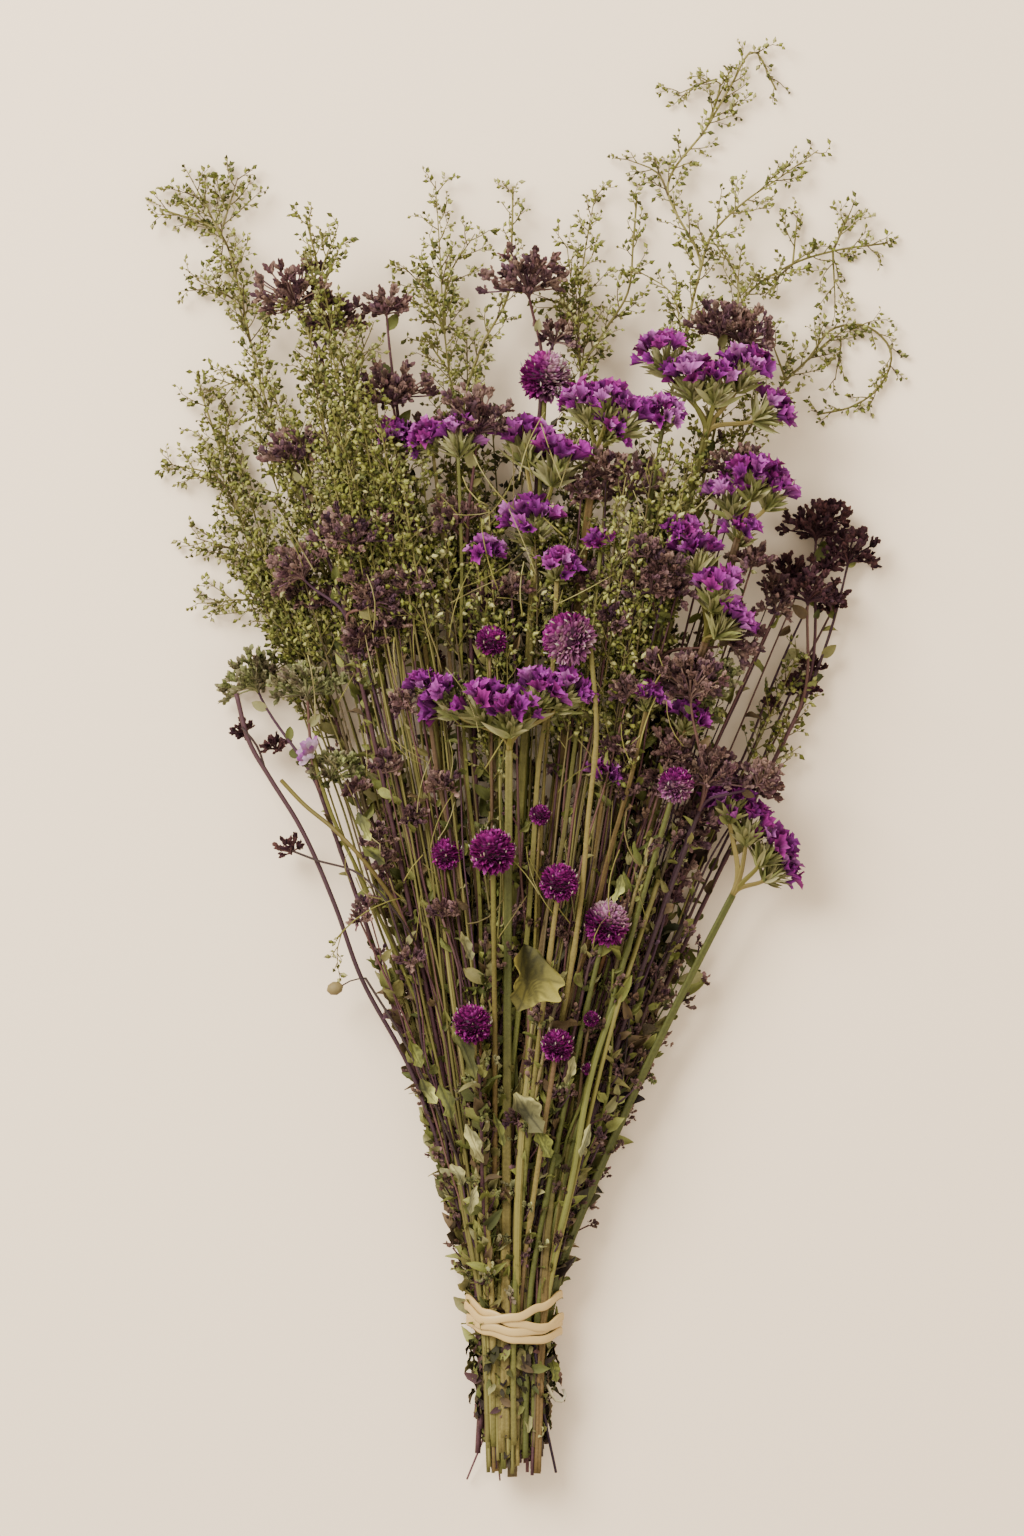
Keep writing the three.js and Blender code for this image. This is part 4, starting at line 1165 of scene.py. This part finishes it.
class BUNCH_OT_fill(BunchOperator, bpy.types.Operator):
    """Grow the thin stalks, leaves and small sprays between the larger ones"""

    bl_idname = "bunch.fill"
    bl_label = "Filling"

    def between(self, rng, low=0.0):
        """A line between two neighbouring CAD stalks, a share of the way from one to the other, and sunk by the
        share low towards the table."""
        guides = CAD.guides
        order = np.argsort([np.interp(-40.0, line[:, 1], line[:, 0]) for line in guides])
        first = int(rng.integers(len(order) - 1))
        second = min(first + int(rng.integers(1, 6)), len(order) - 1)
        a, b = guides[order[first]], guides[order[second]]
        far = rng.uniform(-130, min(a[:, 1].max(), b[:, 1].max(), 170))
        y = np.linspace(TIE_Y - rng.uniform(24, 50), far, 40)
        share = np.linspace(*rng.uniform(0, 1, 2), 40)
        x = mix(np.interp(y, a[:, 1], a[:, 0]), np.interp(y, b[:, 1], b[:, 0]), share)
        z = mix(np.interp(y, a[:, 1], a[:, 2]), np.interp(y, b[:, 1], b[:, 2]), share)
        fade = np.clip(np.abs(y - TIE_Y) / 60, 0, 1)
        x = x + fade * rng.uniform(-4, 4) * np.sin((y - TIE_Y) / rng.uniform(15, 50))
        z = z + fade * rng.uniform(-8, 3)
        z = z * (1 - low * fade)
        return smooth_line(np.stack([x, y, z], 1), 4)

    def undergrowth(self, rng, material):
        """Shady sprays low in the bunch, with coarser buds."""
        pile = Pile()
        for _ in range(18):
            x, y = inside_fan(rng, 70, 130)
            line = smooth_line(guide(rng, np.array([x, y, rng.uniform(0.2, 0.7) * top_height(y)])), 6)
            spray(pile, rng, [line], 0.9, bare_share(rng, line), 15, SHADY, 0.7, 1.5)
        finish_piece(pile, "undergrowth", material)

    def side_shoots(self, rng, lines, seed):
        """Tufts of spikelets on the thin stalks, brown, mauve and greenish."""
        material = plant_material("side_shoots", 0.75, 0.35, 0.4)
        ears = [ear(seed + k, 4) for k in range(3)]
        kinds = ("brown", TUFTS, lines[::2]), ("mauve", MAUVES, lines[1::4]), ("green", GREENS, lines[3::4])
        for name, palette, own in kinds:
            pile = Pile()
            side_tufts(pile, rng, own, 11, 0.32, palette, ears)
            finish_piece(pile, f"side_shoots_{name}", material)

    def loose_twigs(self, rng, material):
        """Short pale broken twigs that lie across the others."""
        pile = Pile()
        for _ in range(90):
            x, y = inside_fan(rng, -60, 110, 0.9)
            lean = rng.normal(0, 0.6)
            half = rng.uniform(4, 14)
            t = np.linspace(-1, 1, 7)[:, None]
            high = top_height(y) * rng.uniform(0.75, 1.02)
            bend = rng.normal(0, 1.2)
            line = np.array([x, y, high]) + t * half * [math.sin(lean), math.cos(lean), rng.normal(0, 0.08)]
            line = line + (1 - t**2) * bend * np.array([math.cos(lean), -math.sin(lean), 0])
            stalk(pile, rng, smooth_line(line, 4), rng.uniform(0.15, 0.32), STRAWS, 5)
        finish_piece(pile, "loose_twigs", material)

    def execute(self, context):
        settings = context.scene.bunch.fill
        rng = np.random.default_rng(settings.seed)
        stems = plant_material("fill_stalk", 0.65, 0.8, 0.5)
        leaves = plant_material("leaf", 0.7, 0.35, 0.4)
        lines = [self.between(rng) for _ in range(settings.stalks)]
        pile = Pile()
        for line in lines:
            side = np.interp(-60.0, line[:, 1], line[:, 0]) / 45
            palette = BROWN_STALKS if rng.uniform(-1, 1) > side + 0.1 else MIXED_STALKS
            stalk(pile, rng, line, rng.uniform(0.4, 1.15), palette, 6, taper=0.4, node_every=40)
        finish_piece(pile, "thin_stalks", stems)
        pile = Pile()
        leaves_on(pile, rng, lines, 14, settings.leaf, 0.2)
        left = [line for line in lines if np.interp(-60.0, line[:, 1], line[:, 0]) < -8]
        leaves_on(pile, rng, left, 2.6, settings.leaf * 0.95, 0.2, LEAVES, 5, 4)
        finish_piece(pile, "small_leaves", leaves)
        pile = Pile()
        leaves_on(pile, rng, lines, 4, settings.leaf * 0.55, 0.3, LEAVES, 4, 3)
        finish_piece(pile, "leaflets", leaves)
        self.side_shoots(rng, lines, settings.seed)
        pile = Pile()
        # Stalks sunk towards the table; their dark colours, and those of their leaves, are painted shade for their
        # place deep in the bunch.
        deep = [self.between(rng, rng.uniform(0.2, 0.6)) for _ in range(60)]
        for line in deep:
            stalk(pile, rng, line, rng.uniform(0.5, 1.2), DARK_STALKS, 5, taper=0.3)
        leaves_on(pile, rng, deep, 5, settings.leaf * 1.1, 0.36, np.concatenate([DARK_STALKS, SHADY]), 5, 3)
        finish_piece(pile, "deep_stalks", stems)
        green = plant_material("fill_spray", 0.7, 0.3, 0.2)
        self.undergrowth(rng, green)
        self.loose_twigs(rng, stems)
        for number, (x, y, share, reach_out) in enumerate(MORE_SPRAYS):
            pile = Pile()
            line = smooth_line(guide(rng, np.array([x, y, share / 100 * top_height(y)])), 3.5)
            spray(pile, rng, [line], 1.25, bare_share(rng, line), reach_out, thick=0.7, coarse=1.15)
            finish_piece(pile, f"small_spray_{number + 1}", green)
        return {"FINISHED"}


# Places that a strand runs through, from the left over the top to the right and back underneath: its offset
# along the bunch at each eighth of a turn, and how many strands lie under it there.
STRANDS = [
    {"offset": [8.6, 4.6, 1.4, 0.2, 4.4, 5, 2, 5], "layer": [0, 0, 1.1, 1.1, 0.6, 0, 0, 1]},
    {"offset": [-1.6, -2.6, -0.9, 2.6, 7.2, 4, 0, -2], "layer": [0, 0.5, 0.4, 0, 0.2, 1, 0, 0]},
    {"offset": [0.6, -3.6, -4.0, -1.8, 0.2, -1, -3, -2], "layer": [0.4, 0, 0.5, 0.8, 0, 0, 1, 0]},
    {"offset": [-4.6, -7.0, -6.6, -3.8, -1.2, -4, -6, -6], "layer": [0, 0, 0, 0, 0, 0, 0, 0]},
]


class BUNCH_OT_band(BunchOperator, bpy.types.Operator):
    """Wind the rubber band"""

    bl_idname = "bunch.band"
    bl_label = "Rubber band"

    def execute(self, context):
        settings = context.scene.bunch.band
        points, _ = welded(CAD.nodes["rubber_band"])
        middle = (points.min(0) + points.max(0)) / 2
        turn = np.linspace(0, 2 * math.pi, 192, endpoint=False)
        inner = self.inside(points - middle, turn)
        pile = Pile()
        for strand in STRANDS:
            knots = np.arange(9) * math.pi / 4
            offset, layer = (self.periodic(np.array(strand[key], float), knots, turn) for key in ("offset", "layer"))
            self.wind(pile, settings, middle, turn, inner, offset, layer)
        finish_piece(pile, "rubber_band_strands", self.rubber(), ["rubber_band"])
        return {"FINISHED"}

    @staticmethod
    def inside(points, turn):
        """How far from the middle the CAD band's inner side is at each turn, smoothed by a bell curve."""
        angle = np.arctan2(points[:, 2], points[:, 0])
        distance = np.hypot(points[:, 0], points[:, 2])
        gap = np.abs((turn[:, None] - angle[None] + math.pi) % (2 * math.pi) - math.pi)
        inner = np.array([distance[g < 0.16].min() for g in gap])
        spin = np.arange(-8, 9)
        weight = np.exp(-((spin / 4.0) ** 2))
        return sum(np.roll(inner, s) * w for s, w in zip(spin, weight)) / weight.sum()

    @staticmethod
    def periodic(values, knots, turn):
        """Values at eighths of a turn, joined by half cosine waves."""
        values = np.r_[values, values[0]]
        k = np.clip((turn / knots[1]).astype(int), 0, 7)
        share = 0.5 - 0.5 * np.cos(math.pi * (turn - knots[k]) / knots[1])
        return mix(values[k], values[k + 1], share)

    @staticmethod
    def wind(pile, settings, middle, turn, inner, offset, layer):
        """One strand: a flattened oval section carried round the stalks. Across it runs along the bunch, and its
        thickness points away from the middle."""
        sides = 14
        angle = 2 * math.pi * np.arange(sides) / sides
        across = np.sign(np.cos(angle)) * np.abs(np.cos(angle)) ** 0.8 * settings.width / 2
        out = np.sign(np.sin(angle)) * np.abs(np.sin(angle)) ** 0.7 * settings.thickness / 2
        distance = inner + settings.thickness * (0.5 + 0.95 * layer)
        radius = distance[:, None] + out[None]
        slope = np.gradient(offset, turn) / distance
        tilt = np.cos(np.arctan(slope))[:, None]
        shift = np.sin(np.arctan(slope))[:, None] * across[None] / distance[:, None]
        theta = turn[:, None] - shift
        y = offset[:, None] + across[None] * tilt
        points = middle + np.stack([radius * np.cos(theta), y, radius * np.sin(theta)], -1)
        points = np.concatenate([points, points[:1]])[None]
        colour = np.broadcast_to(np.array(settings.colour), points.shape)
        pile.add(points, grid_faces(1, len(turn) + 1, sides, True), colour)

    @staticmethod
    def rubber():
        """Smooth rubber with a faint grain."""
        shader = Shader("rubber_band")
        finish = {"Base Color": shader.shade(), "Roughness": 0.5, "Normal": shader.relief(500.0, 0.15, 0.0005)}
        shader.feed(shader.surface, finish)
        return shader.material


def crumpled(seed, outline, rows=30, columns=23, creases=9, depth=0.12):
    """A withered leaf. Its half width follows outline. Each crease is a line across it that folds it: the height
    is a sum of the distances from these lines. Painted shade darkens each crease, and its two sides are painted
    lighter and darker as if lit from one side; its raised edges are painted lighter. Ramp follows the height, so
    the base colour paints the low parts in shade and the tip colour the high parts in light."""
    rng = np.random.default_rng(seed)
    t = np.linspace(0, 1, rows)[:, None]
    u = np.linspace(-1, 1, columns)[None]
    half = np.interp(t, np.linspace(0, 1, len(outline)), outline)
    x = u * half * (1 + 0.14 * np.sin(21 * t + 3 * u) + 0.25 * u * np.sin(8 * t + 1))
    y = t + 0.06 * np.sin(7 * u + 2) * np.sin(np.pi * t)
    # Painted light: the raised edges start lighter.
    z, light, near = 0 * x, 0.9 + 0.25 * np.abs(u) ** 4 + 0 * t, np.abs(x) / 0.03
    for _ in range(creases):
        angle, shift = rng.uniform(0, math.pi), rng.uniform(-0.3, 0.3)
        away = x * math.cos(angle) + (y - 0.5) * math.sin(angle) - shift
        z = z + rng.choice([-1, 1]) * np.abs(away)
        # Painted light and shade: one side of each crease is lighter, the other darker.
        light = light * (1 + rng.choice([-1, 1]) * rng.uniform(0.1, 0.26) * np.tanh(away / 0.025))
        near = np.minimum(near, np.abs(away) / 0.04)
    # Painted shade along the creases.
    light = light * (0.4 + 0.6 * np.clip(near, 0, 1))
    z = z - z.mean()
    # Ramp follows the height: low parts take the base colour as painted shade, high parts the tip colour as painted
    # light.
    ramp = np.clip(0.5 + 0.5 * z / np.abs(z).max(), 0, 1)
    z = 2.6 * depth * z + 0.4 * np.abs(u) ** 3 * half
    return gridded(x, y, z, ramp, light)


class BUNCH_OT_large_leaf(BunchOperator, bpy.types.Operator):
    """Lay the large withered leaf on the stalks"""

    bl_idname = "bunch.large_leaf"
    bl_label = "Large leaf"

    def execute(self, context):
        high = welded(CAD.nodes["large_leaf"])[0].max(0)
        shape = crumpled(8, (0.12, 0.4, 0.44, 0.36, 0.38, 0.24, 0.14, 0.02))
        pile = Pile()
        # Painted shade and light: with the crumpled leaf's ramp, base colours its low folds in shade and tip its high
        # folds in light.
        base, tip = tones("5e5820"), tones("bcae52")
        at, along = np.array([high + (-4, -1, 0.5)]), np.array([[-0.42, -1, -0.05]])
        place(pile, shape, at, along, np.array([0.5, 0.2, 1.0]), np.array([22.0]), base, tip)
        finish_piece(pile, "large_leaf_withered", plant_material("large_leaf", 0.75, 0.3, 0.6), ["large_leaf"])
        return {"FINISHED"}


# Withered leaves on the stalks: base x and y, tip x and y, and width in mm.
WITHERED = [
    (-5, -117, 5, -131, 9), (3, -130, 8, -140, 6), (-26, -92, -19, -112, 7), (-31, -114, -27, -126, 6),
    (-38, -112, -33, -121, 5), (-22, -128, -16, -142, 6), (-12, -124, -9, -136, 4), (-42, -98, -38, -108, 5),
    (16, -104, 13, -114, 4), (22, -128, 18, -140, 4), (-27, -142, -23, -150, 5), (-18, -150, -21, -160, 4),
    (-24, -60, -20, -70, 5), (33, -40, 30, -50, 4), (-60, -18, -55, -28, 5), (-8, -224, -2, -226, 3),
    (2, -236, 5, -240, 4), (-12, -214, -9, -222, 4), (8, -212, 10, -221, 4), (-58, -30, -50, -36, 5),
]
# Stalks seen by themselves: radius, palette, ridges, and places (x, y, z) that the line runs through.
SINGLE_STALKS = [
    (0.8, "gold", 0, [(-88, -7, 14), (-79, -16, 24), (-69, -24, 31), (-61, -32, 34), (-50, -46, 31), (-38, -70, 24),
                       (-24, -107, 18), (-16, -150, 16), (-8, -198, 11), (-8, -234, 10)]),
    (1.6, "straw", 9, [(6, -40, 20), (2, -92, 29), (-3, -142, 30), (-4.3, -198, 20.5), (-4.3, -248, 17)]),
    (1.2, "olive", 5, [(31, -84, 32), (24, -104, 34), (15, -150, 28), (5, -198, 16), (3, -238, 12)]),
    (1.0, "straw", 3, [(46, -42, 30), (30, -92, 33), (16, -150, 27), (6, -198, 18), (4, -240, 14)]),
    (0.9, "brown", 0, [(-104, 24, 17), (-99, 6, 17), (-92, -6, 17), (-82, -22, 17), (-69, -51, 17), (-60, -76, 17),
                       (-42, -110, 16), (-28, -150, 14), (-18, -192, 10), (-17, -234, 9)]),
    (0.45, "dark", 0, [(-84, -32, 17), (-76, -35, 20), (-60, -40, 30), (-48, -52, 34), (-40, -64, 30)]),
    (0.5, "dark", 0, [(-102, 12, 18), (-97, 6, 18), (-93, -5, 17)]),
    (0.5, "dark", 0, [(-58, -77, 22), (-46, -96, 26), (-22, -150, 22), (-9, -198, 15)]),
    (0.3, "dark", 0, [(-68, -81, 17), (-63, -78, 20), (-58, -77, 22)]),
    (0.45, "pink", 0, [(-7, -200, 12), (-15.5, -240, 8), (-22, -257, 3)]),
    (0.4, "pink", 0, [(-6, -200, 14), (-11.3, -244, 11), (-10.2, -257, 7)]),
    (0.7, "cream", 0, [(4, -219, 16), (7.1, -223, 16), (9.1, -227, 15), (11.2, -228.4, 13.5), (13.2, -226.6, 12.5),
                       (12.3, -223.9, 12)]),
    (0.8, "dark", 0, [(-4, -200, 14), (-6.6, -242, 10), (-6.6, -250, 9)]),
    (0.7, "dark", 0, [(-3, -200, 9), (-4.8, -243, 7), (-4.5, -254, 5)]),
    (0.5, "plum", 0, [(-1, -200, 17), (-1.6, -239, 13), (-0.2, -252, 10)]),
    (0.4, "dark", 0, [(0, -200, 11), (-1, -239, 8), (-0.5, -254, 6)]),
    (0.6, "plum", 0, [(1, -200, 20), (5.4, -232, 17), (9.8, -254, 8)]),
]
SINGLE_PALETTES = {
    "gold": tones("80722e", "72682c", "7c6830"),
    "straw": tones("9c8e46", "8a8038", "aa9c54"),
    "olive": tones("7c8038", "8c8a42"),
    "dark": tones("3c2a24", "4a3430"),
    "brown": tones("5e3c40", "4c3036", "6e4a46"),
    "pink": tones("7a5058", "8c6460"),
    "cream": tones("d8c898", "e4d8b4"),
    "plum": tones("4a2a44", "3a2236"),
}


class BUNCH_OT_singles(BunchOperator, bpy.types.Operator):
    """Lay the withered leaves, single stalks, seed pod and pale flower"""

    bl_idname = "bunch.singles"
    bl_label = "Single pieces"

    def execute(self, context):
        rng = np.random.default_rng(71)
        pile = Pile()
        for number, (x, y, tip_x, tip_y, width) in enumerate(WITHERED):
            length = math.hypot(tip_x - x, tip_y - y)
            shape = crumpled(20 + number, (0.08, 0.36, 0.46, 0.28, 0.34, 0.02), 16, 11, 6)
            high = top_height(y) if y > TIE_Y else 19.0
            tint = pick(rng, LEAVES[[0, 1, 3]], 1)
            way = np.array([[tip_x - x, tip_y - y, rng.uniform(-1, 1)]])
            size = np.array([[width, length, width]])
            up = np.array([rng.uniform(-0.8, 0.8), 0, 1.0])
            at = np.array([[x, y, high + 0.5]])
            # Painted shade and light: with the crumpled leaf's ramp, the darker colour goes on the low folds and the
            # lighter on the high ones.
            place(pile, shape, at, way, up, size, tint * 0.7, tint * 1.4)
        self.scraps(pile, rng)
        finish_piece(pile, "withered_leaves", plant_material("withered", 0.75, 0.3, 0.5))
        pile = Pile()
        for radius, palette, ridges, places in SINGLE_STALKS:
            line = smooth_line(places, 2.5)
            sides = max(7, 3 * ridges)
            stalk(pile, rng, line, radius, SINGLE_PALETTES[palette], sides, ridges, 0.24 if ridges else 0, 0.15)
        pod = revolved([(0.05, 0), (0.3, 0.15), (0.42, 0.5), (0.3, 0.85), (0.05, 1)], 10)
        tan = tones("a08a58")
        at, along = np.array([[-66, -80.0, 18]]), np.array([[-1, -0.3, -0.1]])
        place(pile, pod, at, along, UP, np.array([6.0]), tan, tan)
        finish_piece(pile, "single_stalks", plant_material("single_stalk", 0.6, 0.3, 0.3))
        pile = Pile()
        self.pale_flower(pile, rng)
        twig = smooth_line([(-66, -60, 26), (-68, -68, 22), (-67, -78, 20)], 2)
        spray(pile, rng, [twig], 1.3, 0.1, 5, BUDS, 0.25)
        finish_piece(pile, "pale_flower", plant_material("pale_flower", 0.65, 0.3, 0.3))
        return {"FINISHED"}

    @staticmethod
    def scraps(pile, rng):
        """Broken leaves round the stalks' ends, on an oval about the size of the tied part."""
        count = 340
        turn = rng.uniform(-0.6, math.pi + 0.6, count)
        y = rng.uniform(-247, -204, count)
        narrow = 1 - np.clip((-222 - y) / 50, 0, 0.45)
        out = np.stack([np.cos(turn), 0 * turn, np.sin(turn)], 1)
        at = np.stack([TIE_X + 14 * np.cos(turn) * narrow, y, 11 + 10.5 * np.sin(turn) * narrow], 1)
        along = unit(rng.normal(0, 1, (count, 3)) + [0, -1.2, 0])
        shape = sheet(5, 3, 0.5, 0.6, 0.3, 0.1)
        tint = pick(rng, np.concatenate([LEAVES, BROWNS[:4], DARK_STALKS, SHADY]), count, 0.25)
        place(pile, shape, at, along, out, rng.uniform(3, 7.5, count), tint * 0.7, tint * 1.2)

    @staticmethod
    def pale_flower(pile, rng):
        """A half open flower head: strap petals, cream below and violet at their tips."""
        stem = smooth_line([(-76, 1, 33), (-70, -18, 32), (-60, -40, 26), (-38, -90, 18), (-8, -198, 10)], 5)
        stalk(pile, rng, stem, 0.75, OLIVE_STALKS[[1, 4]], 7)
        petal = sheet(6, 5, 0.5, -0.3, 0.25, 0.05, 0.35)
        petals = 26
        along = fan_out(rng, unit(np.array([-0.75, 0.5, 0.35])), petals, 1.2)
        at = np.array([-76, 2.5, 34]) + along * 1.2
        size = rng.uniform(3.8, 5.4, petals)
        cream = pick(rng, CREAMS, petals, 0.05)
        tips = pick(rng, tones("a83cae", "c878c4", "e0b4d8"), petals, 0.1)
        roll = rng.normal(0, 0.4, petals)
        place(pile, petal, at, along, np.array([0, 0.1, 1.0]), size, cream, tips, roll)


# The stage, in metres; a lamp is its name, place, size and power in watts.
TABLE_SIDE = 6
LAMPS = ("key", (-0.9, 0.9, 1.3), 1.0, 74), ("fill", (1.2, -0.4, 1.4), 1.4, 8)
CAMERA_PLACE = (-0.0059, -0.0025, 2.4)
LENS = 157  # mm


class BUNCH_OT_stage(BunchOperator, bpy.types.Operator):
    """Lay the table, light it and set the camera straight above"""

    bl_idname = "bunch.stage"
    bl_label = "Table, light and camera"

    def execute(self, context):
        scene = context.scene
        bpy.ops.mesh.primitive_plane_add(size=TABLE_SIDE, location=(0, 0, 0))
        table = context.object
        table.name = "table"
        shader = Shader("table")
        finish = {"Base Color": (*tone("f0dabb"), 1), "Roughness": 0.9, "Specular IOR Level": 0.1}
        shader.feed(shader.surface, finish)
        table.data.materials.append(shader.material)
        world = bpy.data.worlds.new("world")
        world.use_nodes = True
        sky = world.node_tree.nodes["Background"].inputs
        sky["Color"].default_value = (*tone("fff6ea"), 1)
        sky["Strength"].default_value = 1.3
        scene.world = world
        for lamp in LAMPS:
            self.light(*lamp)
        camera = bpy.data.cameras.new("camera")
        camera.sensor_width, camera.lens = 36, LENS
        holder = bpy.data.objects.new("camera", camera)
        holder.location = CAMERA_PLACE
        scene.collection.objects.link(holder)
        scene.camera = holder
        return {"FINISHED"}

    @staticmethod
    def light(name, location, size, power):
        """A square lamp that faces the middle of the table."""
        data = bpy.data.lights.new(name, "AREA")
        data.size = size
        data.energy = power
        holder = bpy.data.objects.new(name, data)
        holder.location = location
        x, y, z = location
        holder.rotation_euler = (math.atan2(math.hypot(x, y), z), 0, math.atan2(x, -y))
        bpy.context.scene.collection.objects.link(holder)


STEPS = (
    BUNCH_OT_statice,
    BUNCH_OT_amaranth,
    BUNCH_OT_oregano,
    BUNCH_OT_sprays,
    BUNCH_OT_more_flowers,
    BUNCH_OT_fill,
    BUNCH_OT_band,
    BUNCH_OT_large_leaf,
    BUNCH_OT_singles,
    BUNCH_OT_stage,
)


class BUNCH_PT_sidebar(bpy.types.Panel):
    """The bunch's operators and settings"""

    bl_idname = "BUNCH_PT_sidebar"
    bl_label = "Dried flower bunch"
    bl_space_type = "VIEW_3D"
    bl_region_type = "UI"
    bl_category = "Bunch"

    def draw(self, context):
        for step in STEPS:
            self.layout.operator(step.bl_idname)
        for name in ("statice", "amaranth", "oregano", "spray", "fill", "band"):
            box = self.layout.box()
            group = getattr(context.scene.bunch, name)
            for key in group.bl_rna.properties.keys():
                if key not in ("rna_type", "name"):
                    box.prop(group, key)


CLASSES = (
    StaticeSettings,
    AmaranthSettings,
    OreganoSettings,
    SpraySettings,
    FillSettings,
    BandSettings,
    BunchSettings,
    *STEPS,
    BUNCH_PT_sidebar,
)


def register():
    """Make the settings, operators and panel known to Blender."""
    for cls in CLASSES:
        bpy.utils.register_class(cls)
    bpy.types.Scene.bunch = PointerProperty(type=BunchSettings)


def unregister():
    """Undo register."""
    del bpy.types.Scene.bunch
    for cls in reversed(CLASSES):
        bpy.utils.unregister_class(cls)


def main():
    """Grow the bunch and lay the stage."""
    register()
    for step in STEPS:
        group, _, name = step.bl_idname.partition(".")
        if getattr(getattr(bpy.ops, group), name)() != {"FINISHED"}:
            raise RuntimeError(f"{step.bl_idname} did not finish")


if __name__ == "__main__":
    main()
